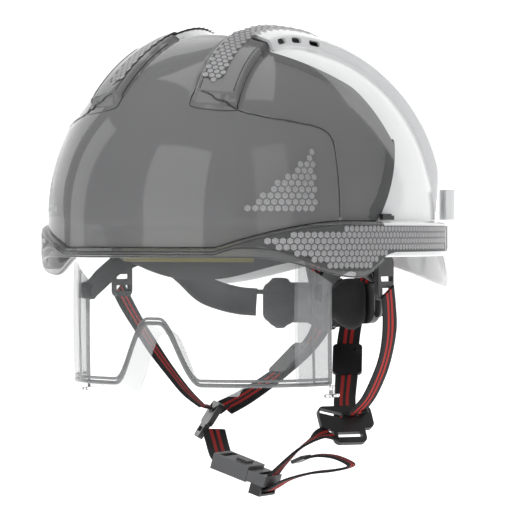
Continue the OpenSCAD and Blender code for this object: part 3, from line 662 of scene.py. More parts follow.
def cover_lift(p):
    """Height of the cover's bulge over the front of the ridges."""
    q = vec(abs(p[0]), p[1], p[2])
    d = RIDGE_PATH - q
    i = int(np.argmin((d * d).sum(1)))
    s = float(RIDGE_S[i])
    _, u, _ = ridge_frame(s)
    x = abs(float((q - RIDGE_PATH[i]) @ u))
    ahead = (RIDGE_PATH[0] - q)[1] if i == 0 else 0.0
    return COVER_RIDGE * smooth((COVER_FOOT - x) / 4.4) * smooth((s + 0.005) / 0.03) * smooth((1.5 - ahead) / 1.5)


def cover_point(phi, z, off):
    """A point of the cover, off millimetres out from its inner face."""
    p = skin_pt(phi - 90, z, GAP)
    lift = max(cover_lift(p), PANEL_STEP * smooth((panel_inside(p, abs(phi)) + 0.6) / 1.2))
    return p + outward_at(p, z) * (off + lift)


def cover_border():
    """Points along the cover's upper and rear border, in millimetres."""
    pts = [skin_pt(phi - 90, cover_top(phi), GAP) for phi in np.linspace(30, COVER_END, 90)]
    return np.array(pts + [skin_pt(phi - 90, cover_low(phi), GAP) for phi in np.linspace(75, COVER_END, 40)])


def beside_ridge(across, up, shares):
    """A line along a ridge, across and up from its centre line, by shares of its length."""
    return [p + u * across + n * (GAP + COVER_T + up) for p, u, n in map(ridge_frame, shares)]


def make_cover():
    cols, rows = 300, 140

    def at(i, k):
        phi = -COVER_END + 2 * COVER_END * i / cols
        lo = cover_low(abs(phi))
        return phi, lo + (max(cover_top(abs(phi)), lo + 2) - lo) * sind(90 * k / rows)

    outer = [[cover_point(*at(i, k), COVER_T) for k in range(rows + 1)] for i in range(cols + 1)]
    inner = [[cover_point(*at(i, k), 0.0) for k in range(rows, -1, -1)] for i in range(cols + 1)]
    verts, faces = skin([a + b for a, b in zip(outer, inner)])
    ob = stand_in("front_cover", "front_cover_skin", (verts, faces), SMOKE, "helmet", "smoke_cover", 50)
    ob.data.materials.append(SMOKE_MARGIN)
    border = cover_border() * MM
    for poly in ob.data.polygons:
        c = np.abs(poly.center) * (1, math.copysign(1, poly.center[1]), 1)
        if c[1] > -0.092 and np.min(((border - c) ** 2).sum(1)) < (MARGIN * MM) ** 2:
            poly.material_index = 1

    # dark lines along the rim, the brow panel and the ridges: the rim line is the cover's dark edge; the others are
    # painted shade for the step and the creases there
    tree = BVHTree.FromPolygons([tuple(v) for v in verts], faces)

    def line(name, path, radius, side=0):
        if side:
            hits = [tree.find_nearest(tuple(sided(q, side)))[:2] for q in path]
            path = [vec(*spot) + vec(*normal) * 0.05 for spot, normal in hits]
        bead(name, path, radius, SMOKE_EDGE_AND_SHADE, "helmet", "smoke_cover")

    rim = [cover_point(*at(i, 0), COVER_T / 2) for i in range(cols + 1)]
    rim += [cover_point(*at(i, rows), COVER_T / 2) for i in range(cols, -1, -1)]
    line("front_cover_edge", rim + rim[:1], 0.75)
    # painted shade: a dark bead round the foot of each ridge's bulge stands for the shade in that crease
    p, u, n = ridge_frame(0.0)
    nose = [p + u * COVER_FOOT * cosd(a) - np.cross(u, n) * 3.5 * sind(a) + n * (GAP + COVER_T + 1.2)
            for a in range(15, 180, 15)]
    foot = (beside_ridge(COVER_FOOT, 1.5, np.linspace(0.24, 0.0, 26)) + nose
            + beside_ridge(-COVER_FOOT, 1.5, np.linspace(0.0, 0.24, 26)))
    # painted shade: a dark bead along the brow panel's step stands for the shadow at the step
    step_shade = [cover_point(float(np.interp(z, PANEL_Z, PANEL_PHI)), z, COVER_T + 2) for z in np.linspace(23.5, 92.5, 90)]
    for side, name in SIDES:
        line(f"panel_step_shade_{name}", step_shade, 0.55, side)
        # painted shade: dark beads along both edges of the ridge bulge stand for the shade in their crease lines
        for k, across in enumerate((10.4, -10.4)):
            line(f"ridge_crest_shade_{k}_{name}", beside_ridge(across, 6.5, np.linspace(0.03, 0.245, 26)), 0.38, side)
        line(f"ridge_foot_shade_{name}", foot, 0.4, side)


# ---- peak ----
def make_peak():
    span = BAND_START - 0.2
    rings = []
    for i in range(201):
        phi = -span + 2 * span * i / 200
        a = abs(phi)
        t = phi - 90
        g = front_gutter(a)
        low = lobe_z(a)
        o = BAND_OUT
        prof = [(GAP, g), (GAP, g - 2.0), (1.0, g - 2.6), (3.0, g - 2.9), (o - 3.4, g - 3.4), (o - 2.9, g - 4.6),
                (o - 2.8, (g + low) / 2), (o - 2.8, low + 1.0), (o - 2.5, low + 0.3), (o - 1.9, low), (o - 0.9, low),
                (o - 0.3, low + 0.3), (o, low + 1.0), (o, (g + low) / 2), (o, g - 3.2), (o - 0.5, g - 1.6),
                (o - 1.6, g - 0.8), (o - 3.2, g - 0.4), (1.6, g - 0.1)]
        rings.append([wall_pt(t, x, z) for x, z in prof])
    stand_in("peak", "peak_skin", skin(rings), CLEAR_PEAK, "helmet", "clear_peak", 50)
    lines = (("lip", span, 0.5, lambda a: lobe_z(a) + 0.5),
             ("bar", 60.0, 0.15, lambda a: min(lobe_z(a) + 5.6, front_gutter(a) - 4.2)),
             ("brow", 60.0, 0.15, lambda a: front_gutter(a) - 2.6))
    for name, reach, inset, height in lines:
        path = [wall_pt(phi - 90, BAND_OUT - inset, height(abs(phi))) for phi in np.linspace(-reach, reach, 240)]
        bead(f"peak_{name}_line", path, 0.45, PEAK_EDGE, "helmet", "clear_peak")


# ---- decals: real hexagon cells ----
def hex_cells(node, inside, place, u_range, v_range, pitch=CELL):
    """Hexagons on a (u, v) sheet in millimetres, kept where inside() says, put on the surface by place()."""
    verts, faces = [], []
    r = pitch / math.sqrt(3) * CELL_FILL
    j, v = 0, v_range[0]
    while v <= v_range[1]:
        u = u_range[0] + (pitch / 2 if j % 2 else 0)
        while u <= u_range[1]:
            if inside(u, v):
                base = len(verts)
                ring = [(u + r * sind(60 * k), v + r * cosd(60 * k)) for k in range(6)]
                verts += [place(a, b, 0.12) for a, b in ring]
                verts += [place(u + (a - u) * 0.9, v + (b - v) * 0.9, 0.26) for a, b in ring]
                verts.append(place(u, v, 0.30))
                for k in range(6):
                    m = (k + 1) % 6
                    faces.append((base + k, base + m, base + 6 + m, base + 6 + k))
                    faces.append((base + 6 + k, base + 6 + m, base + 12))
                faces.append(tuple(base + k for k in range(5, -1, -1)))
            u += pitch
        v += pitch * math.sqrt(3) / 2
        j += 1
    ob = mesh_piece(node + "_cells", verts, faces, FILM, "helmet", "decal_film", smooth_shade=False)
    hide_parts(node)


def crossings(outline, v):
    """The leftmost and rightmost points of an outline at height v."""
    us = []
    for (u0, v0), (u1, v1) in zip(outline, outline[1:] + outline[:1]):
        if (v0 - v) * (v1 - v) < 0:
            us.append(u0 + (u1 - u0) * (v - v0) / (v1 - v0))
    return ((min(us), v), (max(us), v)) if len(us) >= 2 else None


def backing(node, pairs, place):
    """The dark film under the cells: a thin sheet between pairs of edge points, laid on the surface by place()."""
    cols = 12
    rings = []
    for (u0, v0), (u1, v1) in pairs:
        row = [(u0 + (u1 - u0) * k / cols, v0 + (v1 - v0) * k / cols) for k in range(cols + 1)]
        rings.append([place(u, v, 0.1) for u, v in row] + [place(u, v, 0.0) for u, v in reversed(row)])
    auto_smooth(mesh_piece(node + "_film", *skin(rings), BACKING, "helmet", "decal_film"), 60)


def filled(outline):
    """Pairs of edge points across an outline, at 40 heights."""
    vs = [round(q[1], 2) for q in outline]
    return [c for c in (crossings(outline, v) for v in np.linspace(min(vs) + 0.01, max(vs) - 0.01, 40)) if c]


def ridge_decals(side, node):
    """A strip of cells along the inner part of the ridge's crown."""
    ss = np.linspace(0.0, 0.75, 200)
    pts = np.array([ridge_at(s) for s in ss])
    length = np.concatenate([[0], np.cumsum(np.linalg.norm(np.diff(pts, axis=0), axis=1))])

    def place(u, v, h):
        s = float(np.interp(v, length, ss))
        p, side_dir, n = ridge_frame(s)
        lift = GAP + COVER_T + 4.85 * smooth((s + 0.005) / 0.03) if s < RIDGE_SPLIT else RIDGE_H + 0.75
        return sided(p + side_dir * (u + 4.0) + n * (lift + h), side)

    start, stop = float(np.interp(0.05, ss, length)), float(np.interp(0.634, ss, length))
    half, edge = 5.6, 5.9       # half widths of the cells' strip and of its film

    def inside(u, v):
        return abs(u) < half and start < v < stop and (v - start) > half - math.sqrt(max(half ** 2 - u * u, 0))

    outline = [(edge * cosd(a), start + edge + edge * sind(a)) for a in range(180, 361, 15)]
    outline += [(edge, v) for v in np.arange(start + 8, stop + 1, 3)]
    outline += [(-edge, v) for v in np.arange(stop + 1, start + 7, -3)]
    backing(node, filled(outline), place)
    hex_cells(node, inside, place, (-8.2, 8.2), (start + 1, stop), CELL * 0.95)


def brow_decals(side, node):
    """A triangle of cells at the corner of the brow panel."""
    def place(u, v, h):
        z = 25.0 + v
        t = -63 + u / (plan_r(-45) * math.pi / 180)
        p = skin_pt(t, z, GAP)
        return sided(p + outward_at(p, z) * (COVER_T + 1.1 + h), side)

    def inside(u, v):
        return 2 < u < 46 and 1.0 < v < (u / 46) * 37

    backing(node, filled([(-1, -1)] + [(u, -1) for u in range(3, 48, 4)] + [(48.5, v) for v in range(-1, 42, 4)]
                         + [(u, (u / 46) * 40 + 0.5) for u in range(46, 0, -3)]), place)
    hex_cells(node, inside, place, (0, 50), (0, 40))


BAND_STEP = (SHELL_B + SHELL_A) / 2 * math.pi / 180 * 1.03    # millimetres round the band for one degree


def side_decals(side, node):
    """Cells along the band, from a point at the brow to the gap before the rear film."""
    def place(u, v, h):
        return sided(wall_pt(u / BAND_STEP - 90, BAND_OUT + h, v), side)

    def limits(phi, top_in, lobe_in, lobe_low, rear_low, brow_low):
        """Lowest and highest point of the film or the cells at one place round the band."""
        top = (front_gutter(phi) if phi < BAND_START else GUTTER_Z) - top_in
        low = max(lobe_z(phi) + lobe_in, lobe_low) if phi < 80 else rear_low
        return max(low, brow_low - (phi - 36) * 0.75) if phi < 52 else low, top

    def inside(u, v):
        phi = u / BAND_STEP
        low, top = limits(phi, 4.6, 4.0, -6.5, 4.0, 6.5)
        return low < v < top and 33 < phi < 122 + (v - 10) * 0.25

    pairs = []
    for phi in np.linspace(31.5, 123, 60):
        low, top = limits(phi, 2.9, 2.4, -8.0, 3.0, 4.9)
        pairs.append(((phi * BAND_STEP, min(low, top - 0.3)), (phi * BAND_STEP, top)))
    backing(node, pairs, place)
    hex_cells(node, inside, place, (34 * BAND_STEP, 126 * BAND_STEP), (-8.0, 18.0))


def rear_decals(node):
    def place(u, v, h):
        return wall_pt(90 + u / BAND_STEP, BAND_OUT + h, v)

    def inside(u, v):
        return abs(u / BAND_STEP) < 54 + (v - 10) * 0.25 and 4.4 < v < 17.2

    low, high = 3.0, GUTTER_Z - 2.9
    backing(node, [((p * BAND_STEP, low), (p * BAND_STEP, high)) for p in np.linspace(-55, 55, 60)], place)
    hex_cells(node, inside, place, (-58 * BAND_STEP, 58 * BAND_STEP), (-8.0 + 3 * CELL * 0.866, 18.0))


# ---- visor ----
def lens_xy(u, inset=0.0):
    return ((LENS_B - inset) * spow(sind(u), 2 / LENS_P),
            LENS_C - (LENS_FRONT + LENS_C - inset) * cosd(u) ** (2 / LENS_P))


def lens_bottom(x):
    return LENS_LOW + NOTCH_H * (1 - half_cos((abs(x) - 4) / 26))


def lens_top(u):
    return 6 - 21 * (abs(u) / LENS_SPAN) ** 3


def lens_pt(u, z, inset=0.0):
    x, y = lens_xy(u, inset)
    return vec(x, y + 3 * ((z + 33) / 39) ** 2 * cosd(u), z)


def lens_u(i, n):
    return math.copysign(LENS_SPAN * abs(i / n) ** 1.35, i)


def tube(path, radius, sides, up):
    """A round bar along a path."""
    rings = []
    m = len(path) - 1
    for i, p in enumerate(path):
        tan = unit(path[min(i + 1, m)] - path[max(i - 1, 0)])
        side = unit(np.cross(tan, vec(*up)))
        top = np.cross(side, tan)
        rings.append([p + side * radius * cosd(360 * k / sides) + top * radius * sind(360 * k / sides)
                      for k in range(sides)])
    return skin(rings)


def make_lens():
    n, rows = 70, 30
    outer, inner = [], []
    for i in range(-n, n + 1):
        u = lens_u(i, n)
        lo, hi = lens_bottom(lens_xy(u)[0]), lens_top(u)
        zs = [lo + (hi - lo) * k / rows for k in range(rows + 1)]
        outer.append([lens_pt(u, z) for z in zs])
        inner.append([lens_pt(u, z, LENS_T) for z in reversed(zs)])
    lens = stand_in("lens", "lens_sheet", skin([a + b for a, b in zip(outer, inner)]), CLEAR_LENS, "lens_unit",
                    "clear_lens", 50)
    lens.data.materials.append(LENS_SIDE_REFLECTION)
    # painted reflection: the faces towards the lens's sides take the greyer material
    for poly in lens.data.polygons:
        if abs(poly.center[0]) > lens_xy(LENS_SPAN * 0.74)[0] * MM:
            poly.material_index = 1

    def rim_bead(name, path, radius, sides=10, up=(0, 1, 0)):
        bead(name, path, radius, LENS_RIM, "lens_unit", "clear_lens", sides, up)

    # thick double rim along the lower edge; a bar and a rib up each rear edge
    for k, (lift, inset, radius) in enumerate([(0.0, 0.9, 1.25), (2.6, 1.1, 0.9)]):
        path = [lens_pt(u, lens_bottom(lens_xy(u)[0]) + 1.3 + lift, inset)
                for u in (lens_u(i, n) for i in range(-n, n + 1))]
        rim_bead(f"lens_rim_{k}", path, radius, up=(0, 0, 1))
    for side, name in reversed(SIDES):
        for part, u, inset, shift, radius, sides in (("edge", side * LENS_SPAN, 1.0, 0.6, 1.25, 10),
                                                     ("rib", side * (LENS_SPAN - 9), 1.4, 0.0, 0.8, 8)):
            path = [lens_pt(u, z, inset) + vec(0, shift, 0) for z in np.linspace(LENS_LOW + 1.3, lens_top(u), 30)]
            rim_bead(f"lens_{part}_{name}", path, radius, sides)


def make_nose_guard():
    n, span = 60, 36.0
    rings = []
    for i in range(-n, n + 1):
        u = math.copysign(span * abs(i / n) ** 1.35, i)
        end = 1 - smooth((abs(i / n) - 0.82) / 0.18)
        deep = (16 - 8 * abs(i / n) ** 3) * (0.25 + 0.75 * end)
        a = lens_pt(u, lens_bottom(lens_xy(u)[0]), LENS_T + 0.15)
        back = vec(-a[0] * 0.12, deep, -6 * end)
        top = [a + vec(0, 0, 1.6) + back * k + vec(0, 0, 1.2 * k * (1 - k)) for k in np.linspace(0, 1, 9)]
        low = [a + back * k + vec(0, 0, 1.2 * k * (1 - k)) for k in np.linspace(1, 0, 9)]
        rings.append(top + [a + back * 1.03 + vec(0, 0, 0.8)] + low)
    stand_in("nose_guard", "nose_guard_flange", skin(rings), CLEAR_FLANGE, "lens_unit", "clear_lens", 50)


def make_lens_tab(side, node):
    at = vec(side * 85.4, -48, LENS_LOW - 7)
    parts = [prism(rounded_outline(4.6, 14.6, 2.2), 0, 2.0, lambda p: at + p),
             prism(rounded_outline(2.2, 4.6, 0.9), 1.5, 7.2, lambda p: at + p)]
    ob = mesh_piece(node + "_clear", *joined(parts), CLEAR_TAB, "lens_unit", "clear_lens")
    bevelled(ob, 0.35, 35)
    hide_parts(node)


# ---- straps ----
def strap_mesh(name, points, across, node, material=WEBBING, width=WEB_W, thick=WEB_T, slot_name="webbing", n=14):
    """Webbing along a curve through points, lying across the directions given, with UVs for its weave."""
    path, dirs = spline(points, n), spline(across, n)
    m, cols = len(path) - 1, 10
    rings, along, total = [], [], 0.0
    shares = [k / cols for k in range(cols + 1)]
    for i, p in enumerate(path):
        if i:
            total += float(np.linalg.norm(p - path[i - 1]))
        along.append(total)
        tan = unit(path[min(i + 1, m)] - path[max(i - 1, 0)])
        side = unit(dirs[i] - (dirs[i] @ tan) * tan)
        half = np.cross(tan, side) * thick / 2
        rings.append([p + side * width * (x - 0.5) + half * face * (1 - 0.45 * abs(2 * x - 1) ** 6)
                      for face, xs in ((1, shares), (-1, shares[::-1])) for x in xs])
    ob = mesh_piece(name, *skin(rings), material, "helmet", slot_name)
    layer = ob.data.uv_layers.new(name="Strap")
    for loop in ob.data.loops:
        i, k = divmod(loop.vertex_index, 2 * cols + 2)
        layer.data[loop.index].uv = ((shares + shares[::-1])[k], along[i])
    auto_smooth(ob, 60)
    if node:
        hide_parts(node)


def buckle_pt(x, y, z):
    """A point in the frame of the left three-slot plate: x down it, y across it, z out of it."""
    return (48 + 0.418 * x + 0.616 * y + 0.668 * z, 38 - 0.326 * x + 0.788 * y - 0.522 * z,
            -104 - 0.848 * x + 0.53 * z)


SIDE_PATH = [(96.6, 2, -21), (94.5, 8, -31), (90, 17, -46), (84, 24, -60), (76, 30, -74), (66, 35, -88), (56, 38, -97)]
SIDE_ACROSS = [(0, 10, 0), (0, 10, 1), (1, 10, 2), (1, 10, 2), (2, 10, 2), (2, 10, 1), (3, 10, 0)]
REAR_PATH = [(22, 124.6, -1.2), (18, 123, -14), (13, 120.5, -30), (11, 115, -46), (15, 103, -61), (25, 83, -77),
             (36, 60, -91), (44, 46, -98)]
REAR_ACROSS = [(10, 0, 0), (10, 0, 1), (10, 1, 2), (10, 3, 3), (9, 5, 3), (8, 6, 4), (8, 5, 5), (7, 5, 6)]
SHORT_PATH = [(-41, 27, -111), (-31, 15, -119), (-21, 2, -124.5), (-13, -8, -127.4)]
SHORT_ACROSS = [(5, 10, 2), (6, 10, 0), (4, 10, 0), (1, 10, 0)]
LONG_PATH = [(22, -10, -136.2), (30, -7, -127), (37, 1, -118), (43, 13, -112), (45, 25, -110.5)]
LONG_ACROSS = [(0, 10, 0), (-2, 10, 0), (-3, 10, 1), (-3, 10, 2), (-3, 10, 3)]
TAIL_PATH = [(11.6, -10, -141.6), (20.6, -10, -143.6), (33, -8.6, -137), (48, -6, -132.5), (62, -2, -130.5),
             (70, 1.5, -128.5), (71, 2, -126.4), (62, 0, -122.6), (52, -2, -121.8), (44.4, -3.4, -123.2)]
TAIL_ACROSS = [(-i / 3, 10, 0) for i in range(10)]


# the straps' ends, in the plate's own frame, drawn down on to it
SIDE_END = [(-2.6, 4.9, 9.0), (-3.8, 5.8, 6.2), (-4.8, 7.4, 3.4), (-5.0, 8.6, 0.6)]
REAR_END = [(-9.4, 3.8, -3.6), (-6.5, 2.6, -2.6), (-3.6, 1.4, -1.4)]


def make_straps():
    for side, name in SIDES:
        def turned(points):
            return [sided(p, side) for p in points]

        strap_mesh(f"side_web_{name}", turned(SIDE_PATH), turned(SIDE_ACROSS), f"side_strap_{name}")
        strap_mesh(f"rear_web_{name}", turned(REAR_PATH), turned(REAR_ACROSS), f"rear_strap_{name}")
        for end, points in (("side", SIDE_END), ("rear", REAR_END)):
            strap_mesh(f"{end}_web_end_{name}", turned([buckle_pt(*p) for p in points]),
                       turned([(0.62, 0.79, 0.05)] * len(points)), None, width=14.6, n=6)
    strap_mesh("chin_web_short", SHORT_PATH, SHORT_ACROSS, "chin_strap_short")
    strap_mesh("chin_web_long", LONG_PATH, LONG_ACROSS, "chin_strap_long")
    strap_mesh("tail_web", TAIL_PATH, TAIL_ACROSS, "strap_tail", n=10)


def cradle_pt(t, e):
    q = cosd(e) ** 0.9
    return vec((HEAD_B + 8) * cosd(t) * q, (HEAD_A + 6) * sind(t) * q, 26 + 80 * sind(e) ** 0.9)


def make_cradle_straps():
    for node, t, lift in (("crown_strap_front", 52, 2.4), ("crown_strap_side", 128, 0.0)):
        es = [4, 25, 50, 75, 90]
        pts = [cradle_pt(t, e) + vec(0, 0, lift * sind(e)) for e in es]
        pts += [cradle_pt(t + 180, e) + vec(0, 0, lift * sind(e)) for e in reversed(es[:4])]
        across = [(-sind(t), cosd(t), 0)] * len(pts)
        strap_mesh(node + "_tape", pts, across, node, TEXTILE, 18, 1.2, slot_name="cradle_textile", n=10)


# ---- headband and arms ----
def head_pt(t, z, off=0.0):
    return vec((HEAD_B + off) * cosd(t), (HEAD_A + off) * sind(t), z)


def head_low(phi):
    return -2 - 14 * half_cos((phi - 60) / 60) + 12 * half_cos((phi - 125) / 50)


def head_high(phi):
    return 22 - 8 * half_cos((phi - 60) / 90)


def make_headband():
    rings = []
    n = 240
    for i in range(n):
        t = i * 360 / n
        f = phi_of(t)
        lo, hi = head_low(f), head_high(f)
        prof = [(0.0, lo + 0.4), (0.3, lo), (1.2, lo), (1.5, lo + 0.4), (1.5, lo + 2.4), (0.9, lo + 3.0), (0.9, hi - 3.0),
                (1.5, hi - 2.4), (1.5, hi - 0.4), (1.2, hi), (0.3, hi), (0.0, hi - 0.4)]
        rings.append([head_pt(t, z, o) for o, z in prof])
    stand_in("headband", "headband_strip", skin(rings, loop=True), NYLON, "helmet", "harness_nylon", 40)


ARM_PATH = [(71, 27, -2), (66.5, 41, -12), (62, 53, -22), (56, 65, -27), (49, 77, -30), (42, 86.5, -31)]
ARM_ACROSS = [(0, -12, 16), (0, -9, 18), (0, -4, 19), (0, -1, 19), (0, 0, 18), (0, 0, 17)]


def make_rear_arm(side, node):
    pts = [(side * (x + 2.6), y + 1.2, z) for x, y, z in ARM_PATH]
    across = [(side * x, y, z) for x, y, z in ARM_ACROSS]
    path, dirs = spline(pts, 12), spline(across, 12)
    m = len(path) - 1
    rings = []
    for i, p in enumerate(path):
        tan = unit(path[min(i + 1, m)] - path[max(i - 1, 0)])
        sd = unit(dirs[i] - (dirs[i] @ tan) * tan)
        up = np.cross(tan, sd)
        w = 9.0
        prof = [(-w + 0.4, -0.8), (-w, -0.4), (-w, 0.4), (-w + 0.4, 0.8), (-w + 2.2, 0.8), (-w + 2.8, 0.3), (w - 2.8, 0.3),
                (w - 2.2, 0.8), (w - 0.4, 0.8), (w, 0.4), (w, -0.4), (w - 0.4, -0.8)]
        rings.append([p + sd * x + up * z for x, z in prof])
    stand_in(node, node + "_strip", skin(rings), NYLON, "helmet", "harness_nylon", 40)


# ---- pads ----
def padded_piece(name, verts, faces, material, node, slot_name, cap_mm, voxel, pressure):
    """A closed form swelled by a short cloth simulation, as a foam pad under its cloth."""
    ob = mesh_piece(name, verts, faces, material, "helmet", slot_name)
    rm = ob.modifiers.new("Remesh", "REMESH")
    rm.mode = "VOXEL"
    rm.voxel_size = voxel
    apply_modifiers(ob)
    rest = [v.co.copy() for v in ob.data.vertices]
    cl = ob.modifiers.new("Cloth", "CLOTH")
    cl.settings.use_pressure = True
    cl.settings.uniform_pressure_force = pressure
    cl.settings.effector_weights.gravity = 0
    cl.settings.tension_stiffness = 30
    cl.settings.mass = 0.2
    scene = bpy.context.scene
    for f in range(1, 21):
        scene.frame_set(f)
    apply_modifiers(ob)
    for v, r in zip(ob.data.vertices, rest):
        d = v.co - r
        if d.length > cap_mm * MM:
            v.co = r + d.normalized() * cap_mm * MM
    scene.frame_set(1)
    subdivided(ob)
    ob.data.materials.clear()
    ob.data.materials.append(material)
    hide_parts(node)


def make_brow_pad():
    rings = []
    n, span = 60, 37.4
    for i in range(n + 1):
        phi = -span + 2 * span * i / n
        t = phi - 90
        lo, hi = head_low(abs(phi)) - 0.9, 15.6
        prof = [(-3.0, lo), (2.6, lo), (2.6, hi), (1.95, hi), (1.95, lo + 1.0), (-0.45, lo + 1.0), (-0.45, hi), (-3.0, hi)]
        ring = []
        for k in range(len(prof)):
            a, b = prof[k], prof[(k + 1) % len(prof)]
            ring += [head_pt(t, a[1] + (b[1] - a[1]) * q, a[0] + (b[0] - a[0]) * q) for q in (0.0, 0.5)]
        rings.append(ring)
    ob = mesh_piece("brow_pad_foam", *skin(rings), OLIVE, "helmet", "brow_foam")
    bevelled(ob, 0.5, 50)
    subdivided(ob)
    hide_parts("brow_pad")


def make_nape_pad():
    """Dog-bone pad, crowned, with a pulled-in waist."""
    cols, rows = 60, 24
    verts, faces = [], []

    def half_height(x):
        lobe = 17.4 * (1 - abs((abs(x) - 25.5) / 13.2) ** 3.2) ** 0.38 if abs(abs(x) - 25.5) < 13.2 else 0
        waist = 11.6
        if abs(x) <= 25.5:
            return waist + (max(lobe, waist) - waist) * smooth((abs(x) - 9) / 13)
        return lobe

    xs = [38.4 * math.sin(math.pi / 2 * (2 * i / cols - 1)) for i in range(cols + 1)]
    front, back = [], []
    for x in xs:
        h = max(half_height(x), 0.8)
        for j in range(rows + 1):
            q = 2 * j / rows - 1
            z = h * math.sin(math.pi / 2 * q)
            edge = (1 - abs(math.sin(math.pi / 2 * q)) ** 6) * (1 - abs(x / 38.6) ** 12)
            crown = 5.6 * edge ** 0.45
            front.append(vec(x, 88.4 - crown, KNOB_Z + z))
            back.append(vec(x, 88.7, KNOB_Z + z))
    verts = front + back
    w = rows + 1
    off = len(front)
    for i in range(cols):
        for j in range(rows):
            a = i * w + j
            faces.append((a, a + 1, a + w + 1, a + w))
            faces.append((off + a, off + a + w, off + a + w + 1, off + a + 1))
    for j in range(rows):
        faces.append((j, off + j, off + j + 1, j + 1))
        a = cols * w + j
        faces.append((a, a + 1, off + a + 1, off + a))
    for i in range(cols):
        a, b = i * w, (i + 1) * w
        faces.append((a, b, off + b, off + a))
        a, b = i * w + rows, (i + 1) * w + rows
        faces.append((a, off + a, off + b, b))
    padded_piece("nape_pad_cushion", verts, faces, FOAM, "nape_pad", "nape_foam", cap_mm=1.2,
                 voxel=0.003, pressure=3.0)


def make_crown_pad():
    rings = []
    for k in range(17):
        a = math.pi * k / 16
        z = 102.3 - 1.6 * math.cos(a)
        r = 24.2 + 1.4 * math.sin(a) - (3.0 if k in (0, 16) else 0)
        rings.append([vec(r * cosd(10 * j), r * sind(10 * j), z) for j in range(36)])
    ob = stand_in("crown_pad", "crown_pad_foam", skin(rings), FOAM, "helmet", "nape_foam", 60)


# ---- CAD nodes kept as they are, with a better finish ----
def finish_cad(nodes, material, bevel_mm=0.3):
    for name in nodes:
        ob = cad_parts[name]
        ob.data.materials.clear()
        ob.data.materials.append(material)
        add_bevel(ob, bevel_mm, 50, True)


# ---- camera, floor and light ----
def make_stage():
    """A paper sweep facing the camera, and a wide floor just below it for the other views. Metres."""
    floor_z, bend_at, bend, top, half, front, far = -0.205, 1.6, 1.2, 3.4, 4.0, -3.0, 14.0
    prof = [(front, floor_z), (bend_at, floor_z)]
    prof += [(bend_at + bend * sind(a), floor_z + bend * (1 - cosd(a))) for a in range(6, 91, 6)]
    prof += [(bend_at + bend, top)]
    n = len(prof)
    c, s = cosd(YAW), sind(YAW)
    verts = [vec(x * c - y * s, x * s + y * c, z) for x in (-half, half) for y, z in prof]
    faces = [(i, i + 1, n + i + 1, n + i) for i in range(n - 1)]
    beyond = [(x, y, floor_z - 0.002) for x, y in ((-far, -far), (far, -far), (far, far), (-far, far))]
    mat, nt, bsdf = nodes_of("floor_paper")
    paper = ramp(nt, noise(nt, object_coords(nt), 3.0), [(0.3, (0.93, 0.93, 0.93)), (0.7, (0.96, 0.96, 0.96))])
    dress(nt, bsdf, {"Base Color": paper},
          {"Roughness": 0.9, "Emission Color": (1, 1, 1, 1), "Emission Strength": 0.6})
    for name, points, quads in (("floor", verts, faces), ("floor_beyond", beyond, [(0, 1, 2, 3)])):
        me = bpy.data.meshes.new(name)
        me.from_pydata([tuple(v) for v in points], [], quads)
        me.polygons.foreach_set("use_smooth", [True] * len(me.polygons))
        me.materials.append(mat)
        linked(name, me)


def area_light(name, at, size, glow):
    """A softbox aimed at the helmet; glow is its brightness, whatever its size."""
    data = bpy.data.lights.new(name, "AREA")
    data.shape = "RECTANGLE"
    data.size, data.size_y = size
    data.energy = glow * math.pi * size[0] * size[1]
    ob = linked(name, data)
    ob.location = at
    ob.rotation_euler = (-Vector(at)).to_track_quat("-Z", "Y").to_euler()


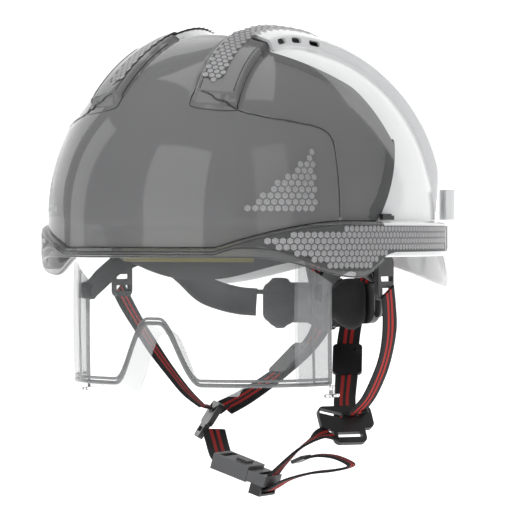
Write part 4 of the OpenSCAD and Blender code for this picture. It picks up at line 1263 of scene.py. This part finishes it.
def make_lights():
    world = bpy.data.worlds.new("studio")
    bpy.context.scene.world = world
    world.use_nodes = True
    nt = world.node_tree
    sky_at = add(nt, "ShaderNodeTexCoord").outputs["Generated"]
    height = add(nt, "ShaderNodeSeparateXYZ", {"Vector": sky_at}).outputs["Z"]
    rise = add(nt, "ShaderNodeMapRange", {"Value": height}, **{"From Min": -0.3}).outputs["Result"]
    sky = ramp(nt, rise, [(0.0, (0.30, 0.30, 0.30)), (0.45, (0.26, 0.26, 0.26)), (1.0, (1.0, 1.0, 1.0))])
    dress(nt, nt.nodes["Background"], {"Color": sky}, {"Strength": 0.72})
    # softboxes to the left and right of the camera, with a dark gap behind it, and one overhead
    away, up = 1.7, 0.35
    for name, turn_by, size, glow in (("softbox_left", -38, (1.2, 1.9), 1.2), ("softbox_right", 34, (0.8, 1.9), 0.6),
                                      ("softbox_far_left", -100, (0.5, 1.9), 1.0)):
        a = YAW + turn_by
        area_light(name, (away * sind(a), -away * cosd(a), up), size, glow)
    area_light("overhead", (-0.1, 0.1, 1.7), (1.3, 1.3), 1.05)
    bpy.context.scene.view_settings.view_transform = "Standard"


def make_camera():
    elevation, distance, px_per_mm, frame_px, sensor, aim_mm = 0.5, 1.8, 1.61, 512, 36, 5
    target = Vector((aim_mm * cosd(YAW) * MM, aim_mm * sind(YAW) * MM, 0))
    back = Vector((sind(YAW) * cosd(elevation), -cosd(YAW) * cosd(elevation), sind(elevation)))
    data = bpy.data.cameras.new("camera")
    data.sensor_width = sensor
    data.lens = sensor * distance / (frame_px / px_per_mm * MM)
    data.clip_end = 50
    cam = linked("camera", data)
    cam.location = target + back * distance
    cam.rotation_euler = (-back).to_track_quat("-Z", "Y").to_euler()
    bpy.context.scene.camera = cam


def pairs(*names):
    return [f"{name}_{side}" for name in names for _, side in SIDES]


make_camera()
make_stage()
make_lights()
make_shell()
for side, name in SIDES:
    make_vent_ridge(side, f"vent_ridge_{name}")
    ridge_decals(side, f"ridge_decal_{name}")
    brow_decals(side, f"brow_decal_{name}")
    side_decals(side, f"side_decal_{name}")
    make_lens_tab(side, f"lens_tab_{name}")
    make_rear_arm(side, f"rear_arm_{name}")
rear_decals("rear_decal")
make_cover()
make_peak()
make_lens()
make_nose_guard()
make_straps()
make_cradle_straps()
make_headband()
make_brow_pad()
make_nape_pad()
make_crown_pad()
finish_cad(["lamp_clips"], WHITE)
finish_cad(pairs("visor_arm", "lens_hinge", "side_hanger", "y_buckle", "rear_slider", "rack")
           + ["cover_clips", "pivot_brackets", "rear_hanger", "strap_keeper", "strap_tip", "harness_clips",
              "ratchet_knob", "nape_cradle", "pinion"], BLACK)
finish_cad(["buckle_socket", "buckle_plug", "buckle_button"], GREY, 0.5)
finish_cad(["pivot_screws", "knob_screw", "button_spring"], STEEL, 0.15)
